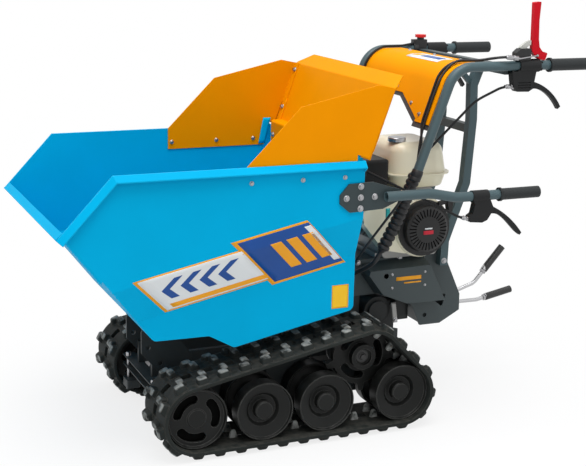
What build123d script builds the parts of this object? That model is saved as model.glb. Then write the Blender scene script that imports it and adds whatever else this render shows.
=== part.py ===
"""Walk-behind tracked mini dumper with a hand-tipped skip, in millimetres.

X points forward, Y to the left and Z up. The ground is Z = 0 and the machine is centred in X and Y.
"""
import math
import os

from build123d import *

os.makedirs("parts", exist_ok=True)

# Sheet and plate thicknesses, and clearances between pieces
SKIN = 3.0
PLATE = 6.0
BOX_PLATE = 5.0
MOVE_GAP = 6.0
BELT_GAP = 0.2
PIN_GAP = 0.08

# Rubber track, 180 wide with 30 links at 60 pitch
TRACK_Y = 246.0
TRACK_WIDE = 180.0
BELT = 11.0
LUG = 15.0
LUG_LONG = 30.0
LUG_SHIFT = 11.0
LINKS = 30
TREAD = BELT + LUG
WINDOW_WIDE = 26.0
WINDOW_LONG = 30.0

# Wheels that shape the loop, with the belt's inner radius on each
IDLER_R = 84.0
IDLER_X = 404.0
IDLER_Z = TREAD + IDLER_R
ROAD_R = 80.0
ROAD_X = (214.0, 34.0, -194.0)
ROAD_Z = TREAD + ROAD_R
DRIVE_R = 83.0
DRIVE_X = -92.0
DRIVE_Z = 209.0
TEETH = 9
TOOTH_HIGH = 21.0
TOOTH_WIDE = 20.0
DISC_Y = 29.0
DISC_WIDE = 42.0
CAP_IN = 6.0
AXLE_R = 10.0
DRIVE_AXLE_R = 17.5
AXLE_TUBE_R = 30.0

# Track frame beam inside the wheels, and the tube across the machine
BEAM_WIDE = 30.0
BEAM_GAP = 4.0
FRAME_LOW = 72.0
FRAME_HIGH = 142.0
CROSS_X = 76.0
CROSS_WIDE = 44.0
CROSS_LOW = 182.0
CROSS_HIGH = 206.0

# Tub outline in side view, its folded side and rim
LIP = (766.0, 622.0)
RAMP_TOP = (751.0, 635.0)
LIP_DOWN = 160.0
WRAP_OUT = 8.0
RIM_FRONT = (624.0, 771.0)
RIM_REAR = (-51.0, 771.0)
FLOOR_G = (-48.0, 356.0)
FLOOR_F = (295.0, 287.0)
FLOOR_E = (364.0, 326.0)
FLOOR_D = (513.0, 328.0)
BEND_R = 14.0
SIDE_Y = 332.0
FOLD_IN = 40.0
CREASE_SLOPE = -0.209
CREASE_HIGH = 609.0
CREASE_LOW = 501.0
RIM_OUT = 15.0
RIM_DOWN = 18.0

# Chassis and the front hinge
RAIL_THICK = 13.5
UPRIGHT_Y = 76.5
RAIL_Y = UPRIGHT_Y - PLATE - RAIL_THICK
RAIL_LOW = 150.0
RAIL_HIGH = 212.0
RAIL_REAR = -176.0
RAIL_FRONT = 452.0
HINGE_DROP = 27.3
HINGE_X = 462.0
HINGE_SHARE = (HINGE_X - FLOOR_E[0]) / (FLOOR_D[0] - FLOOR_E[0])
HINGE_Z = FLOOR_E[1] + (FLOOR_D[1] - FLOOR_E[1]) * HINGE_SHARE - HINGE_DROP
HINGE_R = 10.0
EYE_R = 22.0
TOW_HOLE = (464.0, 236.0)
TOW_R = 6.5

# Guard above the tub
GUARD_FRONT = 277.0
GUARD_LOW = 709.0
GUARD_TOP = (-84.0, 966.0)
GUARD_LEAN = (-133.0, 956.0)
GUARD_FOOT = (-73.0, 787.0)
GUARD_FLANGE = (-175.0, 984.0)
GUARD_FLANGE_Y = 281.0

# Tip handle on the tub's left side
TIP_PLATE = 5.0
TIP_Z = 675.0
TIP_GRIP_Z = 659.0
TIP_END = -573.0
TIP_GRIP_R = 16.0

# Handlebar and its uprights
TUBE_R = 13.5
TUBE_WALL = 2.5
BAR_Y = 262.0
BAR_Z = 997.5
BAR_END = -769.0
BAR_BEND = (-349.0, BAR_Z)
BAR_FOOT = (-236.0, 693.0)
BAR_BEND_R = 73.5
GRIP_R = 17.0
GRIP_LONG = 123.0
GRIP_END = 4.0
POST_WIDE = 25.0

# Rear box that carries the engine
BOX_Y = UPRIGHT_Y - PLATE + BOX_PLATE
DECK_Z = 430.0
DECK = 8.0
CRANK_X = -338.0
CRANK_UP = 97.0
CRANK_Z = DECK_Z + CRANK_UP
COVER_Y = 128.0
SHROUD_IN = 88.0
CASE_UP = 107.0
TANK_Z = CRANK_Z + CASE_UP
TANK_LOW = 38.0
TANK_SEAM = TANK_Z + TANK_LOW


def face_xz(points, y, r=0.0):
    """Face in an X-Z plane, its corners rounded by r."""
    at = [(x, y, z) for x, z in points]
    if r:
        return make_face(FilletPolyline(*at, radius=r, close=True)).face()
    return Face(Wire.make_polygon(at, close=True))


def side(points, y0, y1, r=0.0):
    """Plate with an X-Z outline, from y0 to y1."""
    return Solid.extrude(face_xz(points, y0, r), Vector(0, y1 - y0, 0))


def rod(x, z, r, y0, y1):
    """Round bar along Y."""
    return Solid.make_cylinder(r, y1 - y0, Plane(origin=(x, y0, z), z_dir=(0, 1, 0)))


def bar_x(y, z, r, x0, x1):
    """Round bar along X."""
    return Solid.make_cylinder(r, x1 - x0, Plane(origin=(x0, y, z), z_dir=(1, 0, 0)))


def block(x0, x1, y0, y1, z0, z1, r=0.0):
    """Block between its limits, its upright corners rounded by r."""
    solid = Solid.make_box(x1 - x0, y1 - y0, z1 - z0, Plane(origin=(x0, y0, z0)))
    return solid.fillet(r, solid.edges().filter_by(Axis.Z)) if r else solid


def turned(profile, x, z):
    """Wheel turned about the Y axis through x and z, from (radius, y) points."""
    face = Face(Wire.make_polygon([(x + r, y, z) for r, y in profile], close=True))
    return Solid.revolve(face, 360, Axis((x, 0, z), (0, 1, 0)))


def kidney(x, z, r, wide, start, size, y0, y1):
    """Curved slot along an arc of radius r about x and z."""
    slot = SlotArc(CenterArc((0, 0), r, start, size), wide)
    plane = Plane(origin=(x, y1, z), x_dir=(1, 0, 0), z_dir=(0, -1, 0))
    return extrude(plane * slot, y1 - y0)


def tube(points, radii, r, bore=0.0):
    """Round tube along straight runs with tangent bends at the inner points."""
    path = FilletPolyline(*points, radius=radii) if len(points) > 2 else Line(*points)
    start = Plane(origin=path @ 0, z_dir=path % 0)
    section = start * Circle(r)
    if bore:
        section -= start * Circle(bore)
    return sweep(section, path=path)


def left_of(points, t):
    """Offset of an open line to its left, with mitred corners."""
    normals = []
    for (u, v), (u2, v2) in zip(points, points[1:]):
        long = math.hypot(u2 - u, v2 - v)
        normals.append((-(v2 - v) / long, (u2 - u) / long))
    moved = []
    for i, (u, v) in enumerate(points):
        a = normals[max(i - 1, 0)]
        b = normals[min(i, len(normals) - 1)]
        scale = t / (1 + a[0] * b[0] + a[1] * b[1])
        moved.append((u + (a[0] + b[0]) * scale, v + (a[1] + b[1]) * scale))
    return moved


def bend_radii(points, r, t):
    """Radii of a line and of its offset t to the left, r on the inside of each bend."""
    turns = []
    for a, b, c in zip(points, points[1:], points[2:]):
        turns.append((b[0] - a[0]) * (c[1] - b[1]) - (b[1] - a[1]) * (c[0] - b[0]))
    return [r + t if k > 0 else r for k in turns], [r if k > 0 else r + t for k in turns]


def bent_face(points, r, t, place):
    """Section of a bent sheet t thick to the left of a line, each point put in space by place."""
    near_r, far_r = bend_radii(points, r, t)
    near = FilletPolyline(*[place(p) for p in points], radius=near_r)
    far = FilletPolyline(*[place(p) for p in left_of(points, t)], radius=far_r)
    ends = [Edge.make_line(near @ 0, far @ 0), Edge.make_line(near @ 1, far @ 1)]
    return make_face(near.edges() + far.edges() + ends).face()


def bent(points, r, t, y0, y1):
    """Sheet bent along an X-Z line and t thick to its left, from y0 to y1."""
    face = bent_face(points, r, t, lambda p: (p[0], y0, p[1]))
    return Solid.extrude(face, Vector(0, y1 - y0, 0))


def lever(upper, lower, y0, y1):
    """Curved lever between two smooth X-Z lines, from y0 to y1."""
    top = Spline(*[(x, y0, z) for x, z in upper])
    low = Spline(*[(x, y0, z) for x, z in lower])
    ends = [Edge.make_line(top @ 0, low @ 0), Edge.make_line(top @ 1, low @ 1)]
    face = make_face(top.edges() + low.edges() + ends).face()
    return Solid.extrude(face, Vector(0, y1 - y0, 0))


def mirror_y(shape):
    """The same piece on the other side of the machine."""
    return mirror(shape, about=Plane.XZ)


def group(shapes):
    """Separate solids that share a node."""
    solids = []
    for shape in shapes:
        solids.extend(shape.solids())
    return Compound(children=solids)


def both(shape):
    """The piece and its mirror image as one node."""
    return group([shape, mirror_y(shape)])


def save(name, shape):
    """Write one node."""
    export_step(shape, f"parts/{name}.step")


def save_pair(name, shape):
    """Write a piece of the left side and its mirror image on the right."""
    save(f"{name}_left", shape)
    save(f"{name}_right", mirror_y(shape))


# Track loop: straight runs and arcs round idler, sprocket and rear road wheel
ROUND = ((IDLER_X, IDLER_Z, IDLER_R), (DRIVE_X, DRIVE_Z, DRIVE_R), (ROAD_X[2], ROAD_Z, ROAD_R))


def loop_runs(out):
    """Runs of the loop at a distance out from the belt's inner face."""
    lines = []
    for i, (x, z, r) in enumerate(ROUND):
        x2, z2, r2 = ROUND[(i + 1) % 3]
        far = math.hypot(x2 - x, z2 - z)
        turn = math.atan2(z2 - z, x2 - x) - math.acos((r - r2) / far)
        n = (math.cos(turn), math.sin(turn))
        a = (x + n[0] * (r + out), z + n[1] * (r + out))
        b = (x2 + n[0] * (r2 + out), z2 + n[1] * (r2 + out))
        lines.append((a, b, turn))
    runs = []
    for i, (a, b, turn) in enumerate(lines):
        x, z, r = ROUND[(i + 1) % 3]
        sweep_by = (lines[(i + 1) % 3][2] - turn) % (2 * math.pi)
        runs.append(("line", a, b, turn, 0.0))
        runs.append(("arc", (x, z), r + out, turn, sweep_by))
    return runs


def run_lengths():
    """Lengths of the runs along the belt's middle."""
    return [math.dist(r[1], r[2]) if r[0] == "line" else r[2] * r[4] for r in loop_runs(BELT / 2)]


def loop_at(s, out):
    """Point and outward angle a length s along the belt's middle, out from its inner face."""
    s = s % sum(run_lengths())
    for run, long in zip(loop_runs(out), run_lengths()):
        if s <= long:
            break
        s -= long
    if run[0] == "line":
        return tuple(p + (q - p) * s / long for p, q in zip(run[1], run[2])), run[3]
    turn = run[3] + run[4] * s / long
    return (run[1][0] + run[2] * math.cos(turn), run[1][1] + run[2] * math.sin(turn)), turn


def loop_prism(out, y0, y1):
    """Solid inside the loop's outline."""
    edges = []
    for run in loop_runs(out):
        if run[0] == "line":
            edges.append(Edge.make_line((run[1][0], y0, run[1][1]), (run[2][0], y0, run[2][1])))
            continue
        at = [run[3] + run[4] * k / 2 for k in range(3)]
        p = [(run[1][0] + run[2] * math.cos(a), y0, run[1][1] + run[2] * math.sin(a)) for a in at]
        edges.append(Edge.make_three_point_arc(*p))
    return Solid.extrude(Face(Wire(edges)), Vector(0, y1 - y0, 0))


def facing(x, z, turn):
    """Place on the track's middle with X along the belt and Z outwards at an angle."""
    out = (math.cos(turn), 0, math.sin(turn))
    return Plane((x, TRACK_Y, z), x_dir=(out[2], 0, -out[0]), z_dir=out).location


def on_belt(s, shape):
    """A shape drawn with X along the belt and Z outwards, moved to s on the loop."""
    (x, z), turn = loop_at(s, 0)
    return shape.moved(facing(x, z, turn))


half_wide = TRACK_WIDE / 2
lug_in = WINDOW_WIDE / 2 + 4
lug_out = half_wide - 6
lug_foot = LUG_LONG / 2
lug_face = LUG_LONG / 3
lug = [(-lug_foot, BELT - 2), (lug_foot, BELT - 2), (lug_face, TREAD), (-lug_face, TREAD)]
lug = side([(x + LUG_SHIFT / 2, z) for x, z in lug], lug_in, lug_out)
lug_pair = (lug, lug.rotate(Axis.Z, 180))
window = block(-WINDOW_LONG / 2, WINDOW_LONG / 2, -WINDOW_WIDE / 2, WINDOW_WIDE / 2, -4, TREAD)
lengths = run_lengths()
pitch = sum(lengths) / LINKS
drive_mid = lengths[0] + lengths[1] / 2
track_low = TRACK_Y - half_wide
track_high = TRACK_Y + half_wide
band = loop_prism(BELT, track_low, track_high) - loop_prism(0, track_low, track_high)
raised = []
holes = []
for k in range(LINKS):
    holes.append(on_belt(drive_mid + k * pitch, window))
    for piece in lug_pair:
        raised.append(on_belt(drive_mid + (k + 0.5) * pitch, piece))
track = band.fuse(*raised).cut(*holes)
save_pair("track", track)

# Road wheels: two dished wheels on one hub each, capped on the outside
disc_in = TRACK_Y + DISC_Y
disc_out = disc_in + DISC_WIDE
cap_y = disc_out - CAP_IN
bore_r = AXLE_R + PIN_GAP
bore_end = cap_y - 10


def inboard(profile):
    """The (radius, y) points of the matching wheel on the inner side."""
    return [(r, 2 * TRACK_Y - y) for r, y in reversed(profile)]


def roller(near, x, z):
    """Roller turned from the outer wheel's points, the same mirrored, and a blind bore."""
    bore = [(bore_r, 2 * TRACK_Y - cap_y), (bore_r, bore_end), (0, bore_end)]
    return turned([(0, cap_y)] + near + inboard(near) + bore, x, z)


hub_r = 27.0
dish = [
    (hub_r - 4, cap_y),
    (hub_r - 1, cap_y - 3),
    (hub_r, disc_out - 28),
    (hub_r + 12, disc_out - 28),
    (hub_r + 20, disc_out - 18),
    (ROAD_R - 6, disc_out - 7),
    (ROAD_R - 3, disc_out),
    (ROAD_R - BELT_GAP, disc_out),
    (ROAD_R - BELT_GAP, disc_in),
    (ROAD_R - 6, disc_in),
    (ROAD_R - 8, disc_out - 14),
    (hub_r + 20, disc_out - 25),
    (hub_r + 12, disc_out - 34),
    (hub_r, disc_out - 34),
]
save_pair("road_wheels", group([roller(dish, x, ROAD_Z) for x in ROAD_X]))

# Front idlers: flat webs with three curved windows between hub and rim
web_out = disc_out - 9
web = [
    (hub_r - 3, cap_y),
    (hub_r, cap_y - 3),
    (hub_r + 3, web_out),
    (IDLER_R - 8, web_out),
    (IDLER_R - 4, disc_out),
    (IDLER_R - BELT_GAP, disc_out - 3),
    (IDLER_R - BELT_GAP, disc_in),
    (IDLER_R - 8, disc_in),
    (IDLER_R - 10, web_out - 8),
    (hub_r + 5, web_out - 8),
]
idler = roller(web, IDLER_X, IDLER_Z)
for start in (15, 135, 255):
    idler -= kidney(IDLER_X, IDLER_Z, 54, 24, start, 66, 2 * TRACK_Y - disc_out, disc_out)
save_pair("idler", idler)

# Axle pins from the track frame's beam into the hubs
beam_out = 2 * TRACK_Y - disc_out - BEAM_GAP
beam_in = beam_out - BEAM_WIDE
wheel_spots = [(x, ROAD_Z) for x in ROAD_X] + [(IDLER_X, IDLER_Z)]
save_pair("wheel_pins", group([rod(x, z, AXLE_R, beam_in, bore_end - PIN_GAP) for x, z in wheel_spots]))

# Drive sprocket: teeth that stand in the belt's windows, curved slots and a recessed hub
tooth_y = TOOTH_WIDE / 2
root_r = DRIVE_R - BELT_GAP
sprocket = rod(DRIVE_X, DRIVE_Z, root_r, TRACK_Y - tooth_y, TRACK_Y + tooth_y)
middle_turn = loop_at(drive_mid, 0)[1]
tooth = [(-12, root_r - 4), (12, root_r - 4), (6, DRIVE_R + TOOTH_HIGH), (-6, DRIVE_R + TOOTH_HIGH)]
for k in range(TEETH):
    place = facing(DRIVE_X, DRIVE_Z, middle_turn + 2 * math.pi * k / TEETH)
    sprocket += side(tooth, -tooth_y, tooth_y).moved(place)
hub_in = beam_out + BEAM_GAP
sprocket += rod(DRIVE_X, DRIVE_Z, 36, hub_in, TRACK_Y + tooth_y + 22)
for start in (30, 150, 270):
    sprocket -= kidney(DRIVE_X, DRIVE_Z, 57, 22, start, 58, hub_in, TRACK_Y + 40)
sprocket -= rod(DRIVE_X, DRIVE_Z, 24, TRACK_Y + tooth_y + 12, TRACK_Y + 60)
sprocket -= rod(DRIVE_X, DRIVE_Z, DRIVE_AXLE_R + PIN_GAP, hub_in, TRACK_Y + 60)
save_pair("sprocket", sprocket)

# Track frame: a box beam inside the wheels, with a plate that rises to the axle and cross tubes
frame_front = IDLER_X + 20
frame_rear = ROAD_X[2] - 20
low_plate = [
    (frame_rear, FRAME_LOW),
    (frame_front, FRAME_LOW),
    (frame_front, FRAME_HIGH),
    (frame_rear, FRAME_HIGH),
]
high_plate = [
    (frame_rear, FRAME_HIGH - 20),
    (CROSS_X + CROSS_WIDE + 60, FRAME_HIGH - 20),
    (CROSS_X + CROSS_WIDE + 12, CROSS_HIGH),
    (CROSS_X - 16, CROSS_HIGH),
    (DRIVE_X + 92, FRAME_HIGH + 30),
    (DRIVE_X - 60, FRAME_HIGH + 30),
]
beam = side(low_plate, beam_in, beam_out, 12)
hollow = side(left_of(low_plate + low_plate[:2], SKIN)[1:5], beam_in + SKIN, beam_out - SKIN)
beam -= hollow
beam += side(high_plate, beam_out - PLATE, beam_out)
beam += rod(DRIVE_X, DRIVE_Z, 64, beam_out - PLATE, beam_out)
beam -= rod(DRIVE_X, DRIVE_Z, AXLE_TUBE_R + PIN_GAP, beam_in, beam_out)
for x, z in wheel_spots:
    beam -= rod(x, z, bore_r, beam_in, beam_out)
save_pair("track_frame", beam)

# Tube across the machine over the road wheels, from one track frame to the other
cross_reach = beam_out - PLATE
cross = block(CROSS_X, CROSS_X + CROSS_WIDE, -cross_reach, cross_reach, CROSS_LOW, CROSS_HIGH)
bore_x = (CROSS_X + SKIN, CROSS_X + CROSS_WIDE - SKIN)
cross -= block(*bore_x, -cross_reach, cross_reach, CROSS_LOW + SKIN, CROSS_HIGH - SKIN)
save("cross_tube", cross)

# Drive axle and the axle tubes that hold it
axle_tube = rod(DRIVE_X, DRIVE_Z, AXLE_TUBE_R, RAIL_Y, beam_out)
axle_tube -= rod(DRIVE_X, DRIVE_Z, DRIVE_AXLE_R + PIN_GAP, 0, beam_out)
save("axle_tubes", both(axle_tube))
axle_reach = TRACK_Y + tooth_y + 12
save("drive_axle", rod(DRIVE_X, DRIVE_Z, DRIVE_AXLE_R, -axle_reach, axle_reach))

# Gearbox: cast case round the drive axle with a ribbed neck and a round brake housing
case_y = RAIL_Y - 4
case = [(-42, 166), (-42, 250), (-120, 276), (-300, 276), (-300, 168), (-240, 156), (-90, 150)]
gearbox = side(case, -case_y, case_y, 12)
gearbox += rod(DRIVE_X, DRIVE_Z, 52, -RAIL_Y, RAIL_Y)
gearbox += rod(-224, 276, 42, -92, 92)
gearbox += rod(-224, 276, 30, 92, 100)
for x in (-290, -272, -150, -132):
    gearbox += block(x, x + 6, -case_y + 8, case_y - 8, 270, 288)
gearbox -= rod(DRIVE_X, DRIVE_Z, DRIVE_AXLE_R + PIN_GAP, -RAIL_Y, RAIL_Y)
save("gearbox", gearbox)

# Chassis rails: they rise behind the tub to meet the rear box
rail = side(
    [
        (RAIL_REAR, RAIL_LOW),
        (RAIL_FRONT, RAIL_LOW),
        (RAIL_FRONT, RAIL_HIGH),
        (0, RAIL_HIGH),
        (-40, 270),
        (-120, 345),
        (RAIL_REAR, 345),
    ],
    RAIL_Y,
    RAIL_Y + RAIL_THICK,
)
rail -= block(CROSS_X, CROSS_X + CROSS_WIDE, 0, UPRIGHT_Y, CROSS_LOW, CROSS_HIGH)
rail -= rod(DRIVE_X, DRIVE_Z, AXLE_TUBE_R, 0, UPRIGHT_Y)

# Front uprights: plates that hold the hinge pin, with a pair of spare holes each
upright = side(
    [
        (483, 221),
        (483, HINGE_Z - 17),
        (HINGE_X + 5, HINGE_Z + 6),
        (383, 262),
        (339, 205),
        (339, 165),
        (436, 165),
    ],
    UPRIGHT_Y - PLATE,
    UPRIGHT_Y,
    6,
)
upright += rod(HINGE_X, HINGE_Z, EYE_R, UPRIGHT_Y - PLATE, UPRIGHT_Y)
for x, z, r in ((HINGE_X, HINGE_Z, HINGE_R + PIN_GAP), (*TOW_HOLE, TOW_R), (430, 189, TOW_R)):
    upright -= rod(x, z, r, 0, UPRIGHT_Y)
save("front_uprights", both(upright))
save("hinge_pin", rod(HINGE_X, HINGE_Z, HINGE_R, -UPRIGHT_Y - 6, UPRIGHT_Y + 6))

# Front cross member: a channel below the rails with a clamp plate under each end
reach = track_low - MOVE_GAP
channel = block(RAIL_FRONT - 16, RAIL_FRONT + 22, -reach, reach, RAIL_LOW - 30, RAIL_LOW)
inside = (RAIL_LOW - 30 + SKIN, RAIL_LOW - SKIN)
channel -= block(RAIL_FRONT - 16 + SKIN, RAIL_FRONT + 22, -reach, reach, *inside)
clamp = block(RAIL_FRONT - 12, RAIL_FRONT + 26, reach - 64, reach - 14, 62, 86, 5)
clamp += block(RAIL_FRONT - 12, RAIL_FRONT - 4, reach - 58, reach - 20, 86, RAIL_LOW - 30)
save("front_cross_member", channel + clamp + mirror_y(clamp))

# Tub sides: the fold runs down towards the front, so the section is drawn out along it
crease = Vector(1, 0, CREASE_SLOPE)
fold_y = SIDE_Y - FOLD_IN
skin_line = [(fold_y, -200), (fold_y, CREASE_LOW), (SIDE_Y, CREASE_HIGH), (SIDE_Y, 1100)]


def at_start(p):
    """A point of the Y-Z section, moved back along the crease behind the tub."""
    return Vector(0, *p) + crease * -400


def along_crease(face):
    """Prism of a section along the crease, past both ends of the tub."""
    return Solid.extrude(face, crease * 1500)


floor_line = [RIM_REAR, FLOOR_G, FLOOR_F, FLOOR_E, FLOOR_D, RAMP_TOP]
floor_radii = bend_radii(floor_line, BEND_R, SKIN)[0]
floor_edge = FilletPolyline(*[(x, 0, z) for x, z in floor_line], radius=floor_radii)
top_edge = Polyline(*[(x, 0, z) for x, z in (RAMP_TOP, RIM_FRONT, RIM_REAR)])
outline = make_face(floor_edge.edges() + top_edge.edges()).face()
outline = Solid.extrude(outline, Vector(0, 2 * SIDE_Y, 0))
side_plate = along_crease(bent_face(skin_line, BEND_R, SKIN, at_start)) & outline

# Tub rim: turned outwards and down along the top and front edge, and a fold over the ramp's edge
rim_z = RIM_REAR[1]
rim = [
    (SIDE_Y - SKIN, rim_z - 5),
    (SIDE_Y - SKIN, rim_z),
    (SIDE_Y + 2, rim_z),
    (SIDE_Y + RIM_OUT, rim_z - RIM_DOWN + 3),
    (SIDE_Y + RIM_OUT, rim_z - RIM_DOWN),
    (SIDE_Y + RIM_OUT - SKIN, rim_z - RIM_DOWN),
    (SIDE_Y, rim_z - 5),
]
rim_face = Face(Wire.make_polygon([(RIM_REAR[0], y, z) for y, z in rim], close=True))
down = Vector(RAMP_TOP[0] - RIM_FRONT[0], 0, RAMP_TOP[1] - RIM_FRONT[1]).normalized()
lip_long = math.dist(RAMP_TOP, LIP)
rim_end = Vector(RAMP_TOP[0], SIDE_Y, RAMP_TOP[1]) + down * lip_long
rim_path = Polyline((RIM_REAR[0], SIDE_Y, rim_z), (RIM_FRONT[0], SIDE_Y, rim_z), rim_end)
hem = sweep(rim_face, path=rim_path, transition=Transition.RIGHT)
cap_out = [(SIDE_Y, rim_z), (SIDE_Y + RIM_OUT, rim_z - RIM_DOWN), (SIDE_Y, rim_z - RIM_DOWN - 12)]
cap_face = Face(Wire.make_polygon([(RIM_REAR[0], y, z) for y, z in cap_out], close=True))
hem = hem + Solid.extrude(cap_face, Vector(SKIN, 0, 0))
ramp_long = math.dist(FLOOR_D, RAMP_TOP)
ramp = Vector(RAMP_TOP[0] - FLOOR_D[0], 0, RAMP_TOP[1] - FLOOR_D[1]) * (1 / ramp_long)
ramp_out = Vector(ramp.Z, 0, -ramp.X)
wrap_top = Vector(RAMP_TOP[0], 0, RAMP_TOP[1]) - ramp * WRAP_OUT
wrap_line = [(SIDE_Y, -WRAP_OUT), (SIDE_Y, WRAP_OUT), (SIDE_Y - 26, WRAP_OUT)]
wrap_face = bent_face(wrap_line, 4, SKIN, lambda p: wrap_top + ramp_out * p[1] + Vector(0, p[0], 0))
wrap = Solid.extrude(wrap_face, ramp * (WRAP_OUT - LIP_DOWN))
save_pair("tub_side", side_plate + hem + wrap)

# Tub floor: one sheet bent from the rear wall down and up to a flanged front lip, between the sides
inner_line = left_of(skin_line, SKIN + PIN_GAP)
inner_edge = FilletPolyline(*[at_start(p) for p in inner_line], radius=bend_radii(skin_line, BEND_R, SKIN)[1])
closing = [at_start((0, -200)), at_start((0, 1100))]
room = [
    Edge.make_line(inner_edge @ 0, closing[0]),
    Edge.make_line(closing[0], closing[1]),
    Edge.make_line(closing[1], inner_edge @ 1),
]
room = along_crease(make_face(inner_edge.edges() + room).face())
half_floor = bent(floor_line, BEND_R, SKIN, 0, SIDE_Y) & room
lip_line = [(RAMP_TOP[0] - down.X * SKIN, RAMP_TOP[1] - down.Z * SKIN), LIP]
lip = side(lip_line + left_of(lip_line, -SKIN)[::-1], 0, SIDE_Y - SKIN - PIN_GAP)
half_floor += lip
save("tub_floor", half_floor + mirror_y(half_floor))

# Hinge lugs below the floor, inside the chassis uprights
lug_y = UPRIGHT_Y - PLATE - MOVE_GAP


def floor_under(x):
    """Height of the flat floor's underside."""
    share = (x - FLOOR_E[0]) / (FLOOR_D[0] - FLOOR_E[0])
    return FLOOR_E[1] + (FLOOR_D[1] - FLOOR_E[1]) * share


lug_top = [(x, floor_under(x)) for x in (HINGE_X - 40, HINGE_X + 36)]
hinge_lug = side(lug_top + [(HINGE_X + 17, HINGE_Z - 4), (HINGE_X - 17, HINGE_Z - 4)], lug_y - PLATE, lug_y)
hinge_lug += rod(HINGE_X, HINGE_Z, 18, lug_y - PLATE, lug_y)
hinge_lug -= rod(HINGE_X, HINGE_Z, HINGE_R + PIN_GAP, 0, UPRIGHT_Y)
save("tub_hinge_lugs", both(hinge_lug))

# Rubber rests on the rails, under the sloping floor
rest_x = 40.0
rest_z = FLOOR_F[1] + (FLOOR_G[1] - FLOOR_F[1]) * (FLOOR_F[0] - rest_x) / (FLOOR_F[0] - FLOOR_G[0])
rest_y = RAIL_Y + RAIL_THICK / 2
rest = block(rest_x - 16, rest_x + 16, RAIL_Y, RAIL_Y + RAIL_THICK, RAIL_HIGH, rest_z - 44)
pad = Pos(rest_x, rest_y, rest_z - 44 + 17) * Cylinder(12, 34)
save("chassis_rails", both(rail + rest))
save("rest_buffers", both(pad))

# Guard sides: bolted inside the rim, their rear edge turned in to take the rear panel
guard_y = SIDE_Y - SKIN - PIN_GAP
guard = side(
    [
        (GUARD_FRONT, GUARD_LOW),
        (GUARD_FRONT, rim_z),
        (132, 917),
        GUARD_TOP,
        GUARD_LEAN,
        (-64, 775),
        (-30, 787),
        (-30, GUARD_LOW),
    ],
    guard_y - SKIN,
    guard_y,
)
lean = (GUARD_LEAN[0] - GUARD_FOOT[0], GUARD_LEAN[1] - GUARD_FOOT[1])
ear_low = (GUARD_FOOT[0] + lean[0] * 0.30, GUARD_FOOT[1] + lean[1] * 0.30)
ear_line = [ear_low, GUARD_LEAN]
ear = side(ear_line + left_of(ear_line, -SKIN)[::-1], guard_y - 28, guard_y - SKIN)
save_pair("guard_side", guard + ear)

# Guard rear panel: a flange inside the tub's rear wall, then up behind the ears to a top flange
skirt_x = RIM_REAR[0] + 2 * SKIN + 0.6
skirt = [(skirt_x, GUARD_LOW + 12), (skirt_x, GUARD_FOOT[1])]
panel_line = left_of(skirt + [GUARD_FOOT, GUARD_LEAN, GUARD_FLANGE], PIN_GAP)
panel_y = guard_y - SKIN - PIN_GAP
panel = bent(panel_line, 5, SKIN, -panel_y, panel_y)
trim_x = (GUARD_LEAN[0] - 6, GUARD_FLANGE[0] - 6)
trim = [(trim_x[0], panel_y), (trim_x[1], GUARD_FLANGE_Y), (trim_x[1], SIDE_Y), (trim_x[0], SIDE_Y)]
corner = Face(Wire.make_polygon([(x, y, GUARD_LEAN[1] - 6) for x, y in trim], close=True))
corner = Solid.extrude(corner, Vector(0, 0, 60))
corner = group([corner, block(-100, 0, panel_y - 20, SIDE_Y, GUARD_LOW, GUARD_FOOT[1] + 5)])
panel = panel - corner - mirror_y(corner)
save("guard_rear_panel", panel)

# Tip handle on the left: plate on the tub side with a tube welded to its outer face
plate_y = SIDE_Y + PIN_GAP
tip_plate = side(
    [
        (21, 684),
        (-5, 712),
        (-74, 714),
        (-112, 702),
        (-156, 690),
        (-156, 661),
        (-104, 640),
        (-8, 636),
        (21, 660),
    ],
    plate_y,
    plate_y + TIP_PLATE,
    5,
)
save("tip_plate", tip_plate)
tip_y = plate_y + TIP_PLATE + TUBE_R
tip_path = [(-106, TIP_Z), (-240, TIP_Z), (-318, TIP_GRIP_Z), (TIP_END, TIP_GRIP_Z)]
tip_path = [(x, tip_y, z) for x, z in tip_path]
save("tip_tube", tube(tip_path, 150, TUBE_R, TUBE_R - TUBE_WALL))
grip_start = TIP_END + GRIP_LONG
tip_grip = bar_x(tip_y, TIP_GRIP_Z, TIP_GRIP_R, TIP_END - GRIP_END, grip_start)
tip_grip += bar_x(tip_y, TIP_GRIP_Z, TIP_GRIP_R + 3, grip_start - 6, grip_start) & block(
    grip_start - 6, grip_start, tip_y - 20, tip_y + TIP_GRIP_R, TIP_GRIP_Z - 20, TIP_GRIP_Z + 20
)
tip_grip -= bar_x(tip_y, TIP_GRIP_Z, TUBE_R + PIN_GAP, TIP_END - PIN_GAP, grip_start)
save("tip_grip", tip_grip)

# Release lever below the tip handle: clamp, housing and tapered lever
tip_lever = side(
    [
        (-362, 652),
        (-372, 640),
        (-366, 612),
        (-356, 606),
        (-356, 590),
        (-396, 586),
        (-412, 592),
        (-432, 622),
        (-418, 652),
    ],
    tip_y - 11,
    tip_y + 11,
    4,
)
tip_lever += bar_x(tip_y, TIP_GRIP_Z, TIP_GRIP_R, -414, -364)
lever_top = [(-418, 634), (-469, 605), (-528, 547)]
lever_low = [(-412, 606), (-442, 606), (-482, 578), (-522, 541)]
tip_lever += lever(lever_top, lever_low, tip_y - 6, tip_y + 6)
tip_lever -= bar_x(tip_y, TIP_GRIP_Z, TUBE_R + PIN_GAP, -420, -350)
save("tip_lever", tip_lever)

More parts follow.
